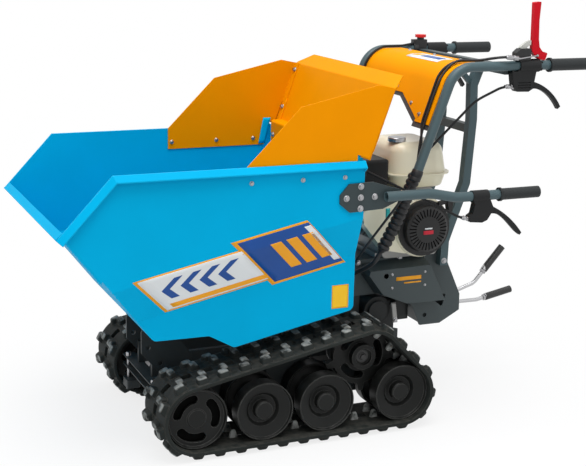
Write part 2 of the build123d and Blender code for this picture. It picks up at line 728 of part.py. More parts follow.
# Release cable from the lever to its guide behind the tub's rear wall
guide = block(RIM_REAR[0] - 18, RIM_REAR[0], 284, 306, 722, 752, 3)
cable_r = 3.5
tip_run = [(-356, tip_y, 598), (-330, tip_y, 604), (-240, 338, 650), (-130, 310, 706)]
tip_run.append((RIM_REAR[0] - 18, 295, 737))
tip_cable = tube(tip_run, [60, 200, 200], cable_r)
save("tip_cable", tip_cable - tip_lever + guide)

# Handlebar: one bent tube a side, with grips
bar_path = [(x, BAR_Y, z) for x, z in ((BAR_END, BAR_Z), BAR_BEND, BAR_FOOT)]
save_pair("handlebar", tube(bar_path, BAR_BEND_R, TUBE_R, TUBE_R - TUBE_WALL))
bar_grip = BAR_END + GRIP_LONG
grip = bar_x(BAR_Y, BAR_Z, GRIP_R, BAR_END - GRIP_END, bar_grip)
grip += bar_x(BAR_Y, BAR_Z, GRIP_R + 3, bar_grip - 6, bar_grip)
grip -= bar_x(BAR_Y, BAR_Z, TUBE_R + PIN_GAP, BAR_END - PIN_GAP, bar_grip)
save("bar_grips", both(grip))

# Clutch levers below the bars: clamp, tapered housing and curved lever
clutch = side(
    [
        (-620, 1009),
        (-548, 1009),
        (-542, 983),
        (-523, 983),
        (-530, 940),
        (-540, 927),
        (-578, 926),
        (-592, 934),
        (-600, 981),
        (-620, 984),
    ],
    BAR_Y - 12,
    BAR_Y + 12,
    4,
)
clamp_ring = bar_x(BAR_Y, BAR_Z, TUBE_R + 5, -612, -546)
clutch += clamp_ring
lever_top = [(-586, 955), (-618, 945), (-664, 914), (-690, 880)]
lever_low = [(-580, 931), (-610, 932), (-660, 902), (-682, 873)]
clutch += lever(lever_top, lever_low, BAR_Y - 7, BAR_Y + 7)
for z in (936, 943, 950):
    clutch -= block(-584, -542, BAR_Y + 9, BAR_Y + 14, z, z + 3)
clutch -= bar_x(BAR_Y, BAR_Z, TUBE_R + PIN_GAP, -640, -500)
save("clutch_levers", both(clutch))

# Raised brake lever on the left bar: slim arm with a wide foot
brake_front = [(-584, 1170), (-586, 1070), (-585, 1037), (-597, 1021), (-614, 1014), (-619, 1012)]
brake_foot = [(-630, 1012), (-636, 1031), (-619, 1036)]
brake_back = [(-609, 1048), (-605, 1070), (-603, 1122), (-606, 1172)]
brake = side(brake_front + brake_foot + brake_back, BAR_Y - 7, BAR_Y + 7, 3)
save("brake_lever", brake - clamp_ring)

# Throttle: black boss on the left bar's clamp with a pale thumb lever
boss = [(-532, 1014), (-532, 1034), (-545, 1045), (-580, 1045), (-580, 1009), (-545, 1009)]
boss = side(boss, BAR_Y - 11, BAR_Y + 11, 3) - bar_x(BAR_Y, BAR_Z, TUBE_R + 5, -640, -500)
under_boss = [(-620, 1009), (-548, 1009), (-542, 983), (-523, 983), (-540, 927), (-620, 984)]
boss -= side(under_boss, BAR_Y - 12, BAR_Y + 12)
thumb = [(-545, 1045), (-550, 1051), (-566, 1063), (-582, 1068), (-582, 1055), (-572, 1050), (-566, 1045)]
save("throttle_lever", boss + side(thumb, BAR_Y - 5, BAR_Y + 5, 2))

# Stop button and its box on the right bar
stop = block(-545, -498, -BAR_Y - 14, -BAR_Y + 14, BAR_Z, BAR_Z + 28, 6)
stop += bar_x(-BAR_Y, BAR_Z, TUBE_R + 5, -512, -498)
stop -= bar_x(-BAR_Y, BAR_Z, TUBE_R + PIN_GAP, -560, -480)
stop += Pos(-526, -BAR_Y, BAR_Z + 31) * Cylinder(11, 8)
stop += Pos(-526, -BAR_Y, BAR_Z + 39) * Cylinder(17, 8)
save("stop_box", stop)

# Uprights that carry the bars: bent strips bolted to the rear box, with a cross bar and braces
post_line = [(-526, 972), (-508, 926), (-511, 826), (-499, 640), (-437, 470), (-435, 396)]
post_half = POST_WIDE / 2
post = side(left_of(post_line, post_half) + left_of(post_line, -post_half)[::-1], BOX_Y, BOX_Y + POST_WIDE)
brace_line = [(-500, 934), (-452, 985)]
post += side(left_of(brace_line, 7) + left_of(brace_line, -7)[::-1], BOX_Y + 4, BOX_Y + 20)
yoke_y = BAR_Y - TUBE_R
yoke = block(-538, -514, -yoke_y, yoke_y, 972, BAR_Z)
save("rear_uprights", both(post - yoke))
save("upright_cross_bar", block(-523, -499, -BOX_Y, BOX_Y, 786, 810))
save("bar_yoke", yoke)

# Hood frame: dark sheet welded between the bars, following their bend
hood_line = [(-284, 840), (-345, 1004), (-446, 1004)]
frame_line = left_of([(-279, 826), (-345, 1004), (-456, 1004)], SKIN)
hood_r = BAR_BEND_R


def notch(grow):
    """Cut that raises the middle of a lower edge, made larger or smaller by grow."""
    pts = [(-40 - grow, 905 + grow), (40 + grow, 905 + grow), (160 + grow, 848 + grow), (160 + grow, 780)]
    pts += [(-160 - grow, 780), (-160 - grow, 848 + grow)]
    face = Face(Wire.make_polygon([(-400, y, z) for y, z in pts], close=True))
    return Solid.extrude(face, Vector(200, 0, 0))


hood_frame = bent(frame_line, hood_r - SKIN, SKIN, -yoke_y, yoke_y) - notch(-12)
save("hood_frame", hood_frame)
hood_y = yoke_y - 8
save("hood", bent(hood_line, hood_r, SKIN - PIN_GAP, -hood_y, hood_y) - notch(0))

# Rear box: side plates with a slanted window, a floor and the engine deck
box_plate = side(
    [
        (-457, DECK_Z),
        (-458, 407),
        (-509, 295),
        (-510, 245),
        (-444, 210),
        (-376, 210),
        (-349, 272),
        (-300, 322),
        (-110, 322),
        (-110, 352),
        (-150, DECK_Z),
    ],
    BOX_Y - BOX_PLATE,
    BOX_Y,
    3,
)
box_window = side([(-462, 300), (-400, 300), (-450, 260)], 0, BOX_Y, 3)
box_plate -= rod(-392, 240, 6.5, 0, BOX_Y)
save("rear_plates", group([box_plate - box_window, mirror_y(box_plate)]))
deck_y = BOX_Y - BOX_PLATE
save("engine_deck", block(-457, -152, -deck_y, deck_y, DECK_Z - DECK, DECK_Z))
floor_sheet = bent([(-351, 272), (-378, 213), (-443, 213), (-505, 246)][::-1], 6, SKIN, -deck_y, deck_y)

# Belt cover on the left: pressed cover whose top edge slopes back to the box
rim_pts = [(-181, 418), (-172, 393), (-220, 326), (-304, 296), (-432, 296), (-372, 430)]
face_pts = [(-181, 406), (-178, 393), (-224, 332), (-304, 299), (-429, 298), (-375, 410)]


def cover_solid(rim_by, y0, y1):
    """Solid between the cover's rim and its face, both moved inwards by rim_by."""
    mid = (-290, 355)
    rings = []
    for pts, y in ((rim_pts, y0), (face_pts, y1)):
        ring = []
        for x, z in pts:
            far = math.hypot(x - mid[0], z - mid[1])
            ring.append((x - (x - mid[0]) / far * rim_by, y, z - (z - mid[1]) / far * rim_by))
        rings.append(Wire.make_polygon(ring, close=True))
    return Solid.make_loft(rings, ruled=True)


cover = cover_solid(0, BOX_Y, COVER_Y) - cover_solid(4, BOX_Y, COVER_Y - SKIN)
cover -= rod(-232, 388, 8, BOX_Y, COVER_Y + 1)
save("belt_cover", cover)

# Engine block: crankcase on the deck, finned cylinder leaning forward, head cover
case_x = (-416, -262)
rear_case = [(case_x[0], DECK_Z), (case_x[0] - 4, CRANK_Z + 33), (-390, TANK_Z)]
front_case = [(case_x[1], TANK_Z), (-236, CRANK_Z - 7), (-236, DECK_Z)]
engine = side(rear_case + front_case, -92, SHROUD_IN, 14)
engine += block(-430, -222, -70, 70, DECK_Z, DECK_Z + 14)
lean = math.radians(25)
cylinder = Plane((-270, 0, CRANK_Z - 7), x_dir=(0, 1, 0), z_dir=(math.cos(lean), 0, math.sin(lean)))
barrel = [cylinder * Pos(0, 0, 40) * Box(84, 84, 84)]
for k in range(6):
    barrel.append(cylinder * Pos(0, 0, 22 + 10 * k) * Box(128, 112, 4))
barrel.append(cylinder * Pos(0, 0, 94) * Box(116, 100, 28))
engine = engine.fuse(*barrel)
save("engine_block", engine)

# Fan shroud: pressed cover on the left of the engine, from the fan forward over the cylinder
pan = [(0, SHROUD_IN), (88, SHROUD_IN), (88, 133), (85, 138), (80, 140), (0, 140)]
shroud = turned(pan, CRANK_X, CRANK_Z)
arm = [(-402, 588), (-330, 634), (-182, 618), (-146, 578), (-152, 548), (-216, 468), (-290, 452)]
shroud += side(arm, SHROUD_IN, 134, 12)
save("fan_shroud", shroud)

# Recoil starter: ring with a grille, raised fan cover with radial slots, and pull grip
recoil = rod(CRANK_X, CRANK_Z, 82, 140, 148)
recoil += turned([(0, 148), (69, 148), (66, 166), (58, 171), (0, 173)], CRANK_X, CRANK_Z)
for k in range(32):
    turn = math.radians(360 * (k + 0.5) / 32)
    slot = Plane((CRANK_X, 166, CRANK_Z), x_dir=(math.cos(turn), 0, math.sin(turn)), z_dir=(0, 1, 0))
    recoil -= slot * Pos(49, 0, 4) * Box(22, 3.6, 16)
recoil += side([(-378, 590), (-380, 602), (-404, 608), (-404, 596)], 144, 156)
recoil += side([(-402, 610), (-422, 606), (-420, 572), (-410, 572)], 140, 160, 3)
save("recoil_cover", recoil)

# Fuel tank: two pressed halves on a seam flange, the upper one tapering to the top
tank_x = (-446, -258)
tank_y = (-118, 106)
mid_x = sum(tank_x) / 2
mid_y = sum(tank_y) / 2
long_x = tank_x[1] - tank_x[0]
long_y = tank_y[1] - tank_y[0]


def tank_half(height, taper, inset):
    """Rounded half of the tank, drawn from the seam."""
    base = Pos(mid_x, mid_y, 0) * RectangleRounded(long_x - inset, long_y - inset, 56)
    return extrude(base, height, taper=taper)


upper = Pos(0, 0, TANK_SEAM) * tank_half(92, 10, 0)
upper = upper.fillet(34, upper.edges().group_by(Axis.Z)[-1])
lower = mirror(tank_half(TANK_SEAM - TANK_Z, 16, 0), about=Plane.XY)
lower = Pos(0, 0, TANK_SEAM) * lower.fillet(10, lower.edges().group_by(Axis.Z)[0])
seam = Pos(mid_x, mid_y, TANK_SEAM) * extrude(RectangleRounded(long_x + 18, long_y + 18, 62), 4)
tank = upper + lower + seam
save("fuel_tank", tank)
cap_plane = Pos(-296, 38, TANK_SEAM + 92)
filler = cap_plane * Pos(0, 0, 6) * Cylinder(26, 12)
filler = filler.fillet(3, filler.edges().group_by(Axis.Z)[-1])
save("filler_cap", filler)

# Air cleaner box over the cylinder, on its inlet elbow
cleaner = block(-248, -142, -36, 94, 622, 722, 12)
cleaner = cleaner.fillet(9, cleaner.edges().group_by(Axis.Z)[-1])
cleaner += block(-214, -172, 10, 52, 590, 622) - engine
cleaner -= shroud
save("air_cleaner", cleaner)

# Muffler on the right of the cylinder, with a slotted guard
muffler = block(-300, -160, -172, -92, 524, 628, 16)
muffler = muffler.fillet(12, muffler.edges().group_by(Axis.Z)[-1])
for z in (548, 566, 584, 602):
    muffler -= block(-280, -180, -173, -168, z, z + 7)
save("muffler", muffler)

# Gear levers at the rear of the box, with grips
gear_r = 6.0
gear_runs = (
    (18, [(-300, 252), (-420, 252), (-592, 306), (-647, 368)]),
    (-18, [(-300, 241), (-628, 238), (-690, 250)]),
)
gears = []
for y, run in gear_runs:
    points = [(x, y, z) for x, z in run]
    (x0, z0), (x1, z1) = run[-2:]
    far = math.dist(run[-2], run[-1])
    along = Plane((x1, y, z1), x_dir=(0, 1, 0), z_dir=((x1 - x0) / far, 0, (z1 - z0) / far))
    sleeve = along * Pos(0, 0, 14) * Cylinder(11, 92)
    gears.append(tube(points, 40, gear_r) + sleeve)
    floor_sheet -= tube(points, 40, gear_r + PIN_GAP)
save("gear_levers", group(gears))
save("rear_floor", floor_sheet)

# Wrapped bundle of cables from the left bar's lower end down into the rear box
bundle_top = Vector(-256, 230, 704)
bundle_path = [bundle_top, (-242, 214, 640), (-214, 190, 560), (-178, 175, 476)]
bundle = tube(bundle_path, [120, 200], 15)
bundle += tube([(-184, 177, 490), (-160, 168, 434), (-124, 66, 380)], 60, 7)
save("wrapped_bundle", bundle & block(-400, 0, BOX_Y, BAR_Y, 0, BAR_Z))

# Control cables: over the hood into the bundle, from the left clutch lever, and down the right side
over = left_of(hood_line, -cable_r - 2)
bundle_dir = (Vector(bundle_path[1]) - bundle_top).normalized()


def into_bundle(shift):
    """Last two points of a cable that runs into the bundle's top, shift aside from its middle."""
    aside = Vector(shift, 0, 0) - bundle_dir * (bundle_dir.X * shift)
    return [bundle_top + aside - bundle_dir * 60, bundle_top + aside]


def over_hood(y0, y1, y2):
    """Points of a cable along the hood's outer face, from its rear to its lower edge."""
    return [(over[2][0], y0, over[2][1]), (over[1][0], y1, over[1][1]), (over[0][0], y2, over[0][1])]


cable_bend = hood_r + SKIN + cable_r + 2
left_run = [(-532, 255, 1022), (-500, 246, 1020)] + over_hood(216, 206, 212) + into_bundle(5)
clutch_run = [(-529, BAR_Y, 941), (-500, 256, 938), (-430, 240, 902), (-330, 234, 806)] + into_bundle(-5)
right_low = [(-246, -234, 708), (-196, -196, 520), (-128, -BOX_Y, 390)]
right_run = [(-498, -255, 1014)] + over_hood(-236, -230, -234) + right_low
cables = [
    tube(left_run, [40, 60, cable_bend, 100, 80], cable_r) - boss,
    tube(clutch_run, [60, 150, 200, 60], cable_r) - clutch,
    tube(right_run, [60, cable_bend, 200, 300, 150], cable_r) - stop - mirror_y(box_plate),
]
save("control_cables", group(cables))
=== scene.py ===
"""Looks of the walk-behind tracked mini dumper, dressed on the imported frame.

Surfaces are worked out in millimetres and put into the scene in metres.
"""

import math

import bmesh
import bpy
import numpy as np
from mathutils import Matrix, Vector


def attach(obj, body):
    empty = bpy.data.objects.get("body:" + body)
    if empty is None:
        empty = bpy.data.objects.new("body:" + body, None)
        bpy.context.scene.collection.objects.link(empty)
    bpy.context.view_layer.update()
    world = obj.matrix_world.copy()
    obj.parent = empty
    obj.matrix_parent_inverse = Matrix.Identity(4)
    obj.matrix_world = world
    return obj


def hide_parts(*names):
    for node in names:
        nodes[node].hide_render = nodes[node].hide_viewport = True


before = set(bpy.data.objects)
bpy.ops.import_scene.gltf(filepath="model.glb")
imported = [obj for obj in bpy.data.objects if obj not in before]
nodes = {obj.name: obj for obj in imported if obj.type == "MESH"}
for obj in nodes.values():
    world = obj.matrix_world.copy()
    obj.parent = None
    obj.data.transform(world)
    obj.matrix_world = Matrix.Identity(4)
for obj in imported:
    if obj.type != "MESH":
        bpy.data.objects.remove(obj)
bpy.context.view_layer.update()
scene = bpy.context.scene
scene.view_settings.view_transform = "Standard"

# Camera: a long lens in front of the left side, a little above the rim,
# turned by the photograph's small roll.
stand = (1.3984, 3.2296, 1.3567)
yaw, pitch, roll = (math.radians(a) for a in (23.297, 13.605, 1.047))
ahead = Vector((-math.sin(yaw) * math.cos(pitch), -math.cos(yaw) * math.cos(pitch), -math.sin(pitch)))
right = ahead.cross(Vector((0, 0, 1))).normalized()
up = right.cross(ahead)
right, up = (
    right * math.cos(roll) + up * math.sin(roll),
    up * math.cos(roll) - right * math.sin(roll),
)
camera = bpy.data.objects.new("camera", bpy.data.cameras.new("camera"))
camera.data.sensor_width = 36
camera.data.sensor_fit = "HORIZONTAL"
camera.data.lens = 77.478
camera.matrix_world = Matrix.Translation(stand) @ Matrix((right, up, -ahead)).transposed().to_4x4()
scene.collection.objects.link(camera)
scene.camera = camera


# Studio: an even pale surround that the camera sees as plain white, and four soft boxes
# round the machine, each turned to its middle.
def node(tree, kind, links=(), **values):
    """New node with its settings, and each (socket, source) linked or set to a plain value."""
    made = tree.nodes.new(kind)
    for key, value in values.items():
        setattr(made, key, value)
    for socket, source in links:
        if hasattr(source, "is_output"):
            tree.links.new(source, made.inputs[socket])
        else:
            made.inputs[socket].default_value = source
    return made


def maths(tree, operation, *values):
    """Socket with the outcome of a calculation on sockets or plain numbers."""
    return node(tree, "ShaderNodeMath", enumerate(values), operation=operation).outputs[0]


def seen_directly(tree):
    """Socket that is 1 for rays from the camera, or from a reflection or through glass."""
    path = node(tree, "ShaderNodeLightPath").outputs
    mirrored = maths(tree, "MAXIMUM", path["Is Camera Ray"], path["Is Glossy Ray"])
    return maths(tree, "MAXIMUM", mirrored, path["Is Transmission Ray"])


world = bpy.data.worlds.new("studio")
world.use_nodes = True
scene.world = world
tree = world.node_tree
surround = tree.nodes["Background"]
surround.inputs["Color"].default_value = (0.95, 0.97, 1.0, 1)
surround.inputs["Strength"].default_value = 0.62
white = node(tree, "ShaderNodeBackground", [("Color", (1, 1, 1, 1)), ("Strength", 1.0)])
choose = node(
    tree,
    "ShaderNodeMixShader",
    [(0, seen_directly(tree)), (1, surround.outputs[0]), (2, white.outputs[0])],
)
tree.links.new(choose.outputs[0], tree.nodes["World Output"].inputs["Surface"])
lit_middle = Vector((0, 0, 0.5))
for name, spot, size, power in (
    ("key", (3.4, 6.8, 6.2), 5.0, 60),
    ("fill", (-3.6, 2.6, 2.2), 3.0, 14),
    ("top", (0.4, 0.8, 4.4), 3.4, 175),
    ("front", (4.6, 0.8, 2.6), 2.4, 10),
):
    lamp = bpy.data.objects.new(name, bpy.data.lights.new(name, "AREA"))
    lamp.data.shape = "DISK"
    lamp.data.size = size
    lamp.data.energy = power
    lamp.location = spot
    lamp.rotation_euler = (lit_middle - Vector(spot)).to_track_quat("-Z", "Y").to_euler()
    scene.collection.objects.link(lamp)


# Floor: a pale matt sheet that takes the machine's soft shadow near it and runs out to white
# further away.
def where(tree):
    """Socket with the place on the piece, in metres."""
    return node(tree, "ShaderNodeTexCoord").outputs["Object"]


def ramp(tree, value, low, high, to=(0.0, 1.0), **settings):
    """Socket with a value brought from the range low to high into another, held at its ends."""
    ends = [("From Min", low), ("From Max", high), ("To Min", to[0]), ("To Max", to[1])]
    return node(tree, "ShaderNodeMapRange", [("Value", value)] + ends, **settings).outputs[0]


reach = 30
floor_mesh = bpy.data.meshes.new("floor")
floor_mesh.from_pydata(
    [(-reach, -reach, 0), (reach, -reach, 0), (reach, reach, 0), (-reach, reach, 0)], [], [(0, 1, 2, 3)]
)
floor = bpy.data.objects.new("floor", floor_mesh)
scene.collection.objects.link(floor)
pale = bpy.data.materials.new("pale_floor")
pale.use_nodes = True
tree = pale.node_tree
shader = tree.nodes["Principled BSDF"]
shader.inputs["Base Color"].default_value = (0.8, 0.8, 0.8, 1)
shader.inputs["Roughness"].default_value = 0.85
shader.inputs["Specular IOR Level"].default_value = 0.1
from_middle = node(tree, "ShaderNodeVectorMath", [(0, where(tree))], operation="LENGTH").outputs["Value"]
far_off = ramp(tree, from_middle, 0.45, 1.3, to=(0.8, 1.0), interpolation_type="SMOOTHSTEP")
far_off = maths(tree, "MULTIPLY", far_off, seen_directly(tree))
glow = node(tree, "ShaderNodeEmission", [("Color", (1, 1, 1, 1)), ("Strength", 1.0)])
choose = node(tree, "ShaderNodeMixShader", [(0, far_off), (1, shader.outputs[0]), (2, glow.outputs[0])])
tree.links.new(choose.outputs[0], tree.nodes["Material Output"].inputs["Surface"])
floor.data.materials.append(pale)

# Rubber tracks: moulded belts with a window at each tooth, stepped lugs in pairs outside and
# guide horns inside. One loop runs round idler, sprocket and rear road wheel, given as x, z and
# the radius of the belt's inner face.
SIDES = (("left", 1), ("right", -1))
WHEELS = np.array([(404.0, 110.0, 84.0), (-92.0, 209.0, 83.0), (-194.0, 106.0, 80.0)])
TRACK_Y = 246.0
BELT = 11.0
TREAD = 26.0
LINKS = 30
after = np.roll(WHEELS, -1, axis=0)
apart = after - WHEELS
lead = np.arccos(apart[:, 2] / np.hypot(apart[:, 0], apart[:, 1]))
turns = np.arctan2(apart[:, 1], apart[:, 0]) + lead - np.pi
turns = turns[0] + np.concatenate([[0], np.cumsum((np.roll(turns, -1) - turns) % (2 * np.pi))])
straights = [[(*a, t), (*b, t)] for a, b, t in zip(WHEELS, after, turns)]
keys = np.concatenate(straights + [[(*WHEELS[0], turns[-1])]])


def on_loop(keys, out):
    """Points out from the belt's inner face: each wheel's middle plus its radius along the turn."""
    far = keys[..., 2] + out
    return keys[..., 0] + far * np.cos(keys[..., 3]), keys[..., 1] + far * np.sin(keys[..., 3])


along_x, along_z = on_loop(keys, BELT / 2)
runs = np.hypot(np.diff(along_x), np.diff(along_z))
runs[1::2] = (keys[2::2, 2] + BELT / 2) * np.diff(keys[:, 3])[1::2]
far_along = np.concatenate([[0], np.cumsum(runs)])
tooth_mid = far_along[1] + runs[1] / 2
link = far_along[-1] / LINKS


def at_length(s):
    """Wheel middle, radius and turn at lengths s along the belt, straight between the loop's keys."""
    s = np.asarray(s) % far_along[-1]
    return np.stack([np.interp(s, far_along, keys[:, k]) for k in range(4)], -1)


def belt(y_mid):
    """Belt as two grids, length by width, its thickness apart, with windows left open and walled."""
    steps, window_from, window_to = 12, 9, 3
    half = np.array([13, 26, 46, 70, 86, 89, 90.0])
    wide = np.concatenate([-half[::-1], half])
    inset = np.select([np.abs(wide) == 90, np.abs(wide) == 89], [4.2, 1.2], 0.0)
    ridge = np.where(np.abs(np.abs(wide) - 70) < 17, 0.0, 0.6)
    ring = at_length(tooth_mid + link * np.arange(LINKS * steps) / steps)[:, None, :]
    layers = []
    for out in (BELT - inset + ridge, inset):
        x, z = on_loop(ring, out[None, :])
        layers.append(np.stack([x, np.broadcast_to(y_mid + wide, x.shape), z], -1))
    count, across = layers[0].shape[:2]
    index = np.arange(count * across).reshape(count, across)
    nxt = np.roll(index, -1, axis=0)
    cells = np.stack([index[:, :-1], index[:, 1:], nxt[:, 1:], nxt[:, :-1]], -1)
    part = np.arange(count) % steps
    opened = (part < window_to) | (part >= window_from)
    column = len(half) - 1
    outer = cells[~(opened[:, None] & (np.arange(across - 1) == column))]
    low = count * across
    edges = [(index[:, j], nxt[:, j]) for j in (0, -1)]
    edges += [(index[opened, j], nxt[opened, j]) for j in (column, column + 1)]
    for end in (window_to, window_from):
        edges.append((index[part == end, column], index[part == end, column + 1]))
    walls = [np.stack([e, n, n + low, e + low], -1) for e, n in edges]
    return np.concatenate(layers).reshape(-1, 3), np.concatenate([outer, outer + low] + walls)


def ring_faces(copies, rows, around):
    """Quads of a stack of rows, each closed round, for a number of like copies."""
    i, j = np.meshgrid(np.arange(rows - 1), np.arange(around), indexing="ij")
    j2 = (j + 1) % around
    quad = np.stack([i * around + j, i * around + j2, (i + 1) * around + j2, (i + 1) * around + j], -1)
    shift = np.arange(copies)[:, None, None] * rows * around
    return (quad.reshape(1, -1, 4) + shift).reshape(-1, 4)


def studs(y_mid, table):
    """Blocks on the belt, a rounded oblong at each height that shrinks from foot to top."""
    a, foot, top, y0, y1, y0_top, y1_top, h0, h1 = np.array(table, float).T[:, None, :, None, None]
    t, rounding = np.array([(0, 0), (0.78, 0), (0.93, 0.7), (1, 2.4), (1, 99)]).T[:, None, None, :, None]
    around = 24
    angle = np.linspace(0, 2 * np.pi, around, endpoint=False)
    square = [np.sign(f) * np.abs(f) ** 0.4 for f in (np.cos(angle), np.sin(angle))]
    long = np.maximum(foot + (top - foot) * t - rounding, 0)
    low = y0 + (y0_top - y0) * t
    high = y1 + (y1_top - y1) * t
    along = a + long * square[0]
    across = (low + high) / 2 + np.maximum((high - low) / 2 - rounding, 0) * square[1]
    ring = at_length(tooth_mid + link * (np.arange(LINKS) + 0.5))[:, None, None, None, :]
    x, z = on_loop(ring, h0 + (h1 - h0) * t)
    x = x + along * np.sin(ring[..., 3])
    z = z - along * np.cos(ring[..., 3])
    points = np.stack(np.broadcast_arrays(x, y_mid + across, z), -1)
    # Lug tops are marked for wear; the horns are marked all over, partly for rubbing and partly as painted
    # light that lifts them out of their shade.
    rubbed_and_lit = np.broadcast_to((t > 0.9) | (h1 < h0), points.shape[:-1])
    return points.reshape(-1, 3), ring_faces(LINKS * len(table), t.size, around), rubbed_and_lit.reshape(-1)


def noise(tree, scale, detail):
    """Socket with cloudy values round a half, at a scale per metre."""
    links = [("Vector", where(tree)), ("Scale", scale), ("Detail", detail)]
    return node(tree, "ShaderNodeTexNoise", links).outputs["Fac"]


def blend(tree, share, first, second):
    """Socket with a colour between two."""
    return node(tree, "ShaderNodeMix", [(0, share), (6, first), (7, second)], data_type="RGBA").outputs[2]


# The rubber's finish, and every other, stands on one group: cloudy tone, fine grain, softened
# and worn edges, and the dust that lies on upward faces.
surface = bpy.data.node_groups.new("surface", "ShaderNodeTree")
for label, kind, value in (
    ("Colour", "NodeSocketColor", (0.5, 0.5, 0.5, 1)),
    ("Worn", "NodeSocketColor", (0.6, 0.6, 0.6, 1)),
    ("Cloud", "NodeSocketFloat", 0.07),
    ("Wear", "NodeSocketFloat", 0.4),
    ("Rough", "NodeSocketFloat", 0.4),
    ("Grain scale", "NodeSocketFloat", 700.0),
    ("Grain", "NodeSocketFloat", 0.08),
    ("Edge", "NodeSocketFloat", 0.0015),
    ("Dust", "NodeSocketFloat", 0.0),
):
    surface.interface.new_socket(label, in_out="INPUT", socket_type=kind).default_value = value
for label, kind in (
    ("Colour", "NodeSocketColor"),
    ("Roughness", "NodeSocketFloat"),
    ("Normal", "NodeSocketVector"),
):
    surface.interface.new_socket(label, in_out="OUTPUT", socket_type=kind)
into = node(surface, "NodeGroupInput").outputs
out = node(surface, "NodeGroupOutput").inputs
clouds = noise(surface, 5.0, 6.0)
patches = noise(surface, 60.0, 5.0)
fine = noise(surface, into["Grain scale"], 3.0)
soft = node(surface, "ShaderNodeBevel", [("Radius", into["Edge"])], samples=4).outputs[0]
facing = node(surface, "ShaderNodeNewGeometry").outputs["Normal"]
flat = node(surface, "ShaderNodeVectorMath", [(0, soft), (1, facing)], operation="DOT_PRODUCT")
worn = maths(surface, "MULTIPLY", ramp(surface, flat.outputs["Value"], 0.995, 0.86), patches)
worn = maths(surface, "MULTIPLY", worn, into["Wear"])
upward = node(surface, "ShaderNodeSeparateXYZ", [(0, facing)]).outputs["Z"]
dusty = maths(surface, "MULTIPLY", ramp(surface, patches, 0.35, 0.6), ramp(surface, upward, 0.55, 0.95))
dusty = maths(surface, "MULTIPLY", dusty, into["Dust"])
tone = ramp(surface, clouds, 0.3, 0.7, to=(-1.0, 1.0))
tone = maths(surface, "MULTIPLY_ADD", tone, into["Cloud"], 1.0)
shade = node(surface, "ShaderNodeHueSaturation", [("Color", into["Colour"]), ("Value", tone)]).outputs[0]
shade = blend(surface, worn, shade, into["Worn"])
shade = blend(surface, dusty, shade, into["Worn"])
rough = maths(surface, "MULTIPLY_ADD", clouds, 0.16, into["Rough"])
bump = node(
    surface,
    "ShaderNodeBump",
    [("Strength", into["Grain"]), ("Distance", 0.0006), ("Height", fine), ("Normal", soft)],
)
surface.links.new(shade, out["Colour"])
surface.links.new(rough, out["Roughness"])
surface.links.new(bump.outputs[0], out["Normal"])


def finish_of(name, colour, worn, metal=0.0, gloss=0.2, coat=0.0, **amounts):
    """Material on the surface group, with its own colours and amounts."""
    made = bpy.data.materials.new(name)
    made.use_nodes = True
    shader = made.node_tree.nodes["Principled BSDF"]
    shader.inputs["Metallic"].default_value = metal
    shader.inputs["Specular IOR Level"].default_value = gloss
    shader.inputs["Coat Weight"].default_value = coat
    skin = node(made.node_tree, "ShaderNodeGroup", node_tree=surface, name="skin")
    skin.inputs["Colour"].default_value = (*colour, 1)
    skin.inputs["Worn"].default_value = (*worn, 1)
    for key, value in amounts.items():
        skin.inputs[key.replace("_", " ")].default_value = value
    for plug, socket in (("Colour", "Base Color"), ("Roughness", "Roughness"), ("Normal", "Normal")):
        made.node_tree.links.new(skin.outputs[plug], shader.inputs[socket])
    return made


def second_colour(material, mask, colour):
    """Give a finish a second colour where a mask is 1."""
    tree = material.node_tree
    skin = tree.nodes["skin"].inputs["Colour"]
    tree.links.new(blend(tree, mask, skin.default_value[:], (*colour, 1)), skin)


def put(name, points, quads, material, body, rubbed_and_lit=None):
    """Mesh from points in millimetres and quads, merged at poles, facing outwards, on a body."""
    mesh = bpy.data.meshes.new(name)
    mesh.from_pydata((np.asarray(points).reshape(-1, 3) * 0.001).tolist(), [], np.asarray(quads).tolist())
    if rubbed_and_lit is not None:
        mesh.attributes.new("rubbed_and_lit", "FLOAT", "POINT").data.foreach_set("value", rubbed_and_lit.astype(np.float32))
    shape = bmesh.new()
    shape.from_mesh(mesh)
    bmesh.ops.remove_doubles(shape, verts=shape.verts, dist=1e-6)
    bmesh.ops.recalc_face_normals(shape, faces=shape.faces)
    shape.to_mesh(mesh)
    shape.free()
    mesh.polygons.foreach_set("use_smooth", [True] * len(mesh.polygons))
    mesh.set_sharp_from_angle(angle=math.radians(35))
    mesh.materials.append(material)
    piece = bpy.data.objects.new(name, mesh)
    scene.collection.objects.link(piece)
    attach(piece, body)
    return piece


rubber = finish_of(
    "track_rubber",
    (0.02, 0.023, 0.0215),
    (0.11, 0.1, 0.085),
    gloss=0.08,
    Cloud=0.3,
    Rough=0.55,
    Wear=0.8,
    Grain=0.35,
    Grain_scale=450.0,
    Edge=0.0025,
    Dust=0.25,
)
tree = rubber.node_tree
# Pale scuffed grey where marked: wear on the lug tops, and on the horns wear plus painted light.
rubbed_and_lit = node(tree, "ShaderNodeAttribute", attribute_name="rubbed_and_lit").outputs["Fac"]
scuffs = ramp(tree, noise(tree, 45.0, 4.0), 0.36, 0.62)
second_colour(rubber, maths(tree, "MULTIPLY", rubbed_and_lit, scuffs), (0.3, 0.31, 0.295))
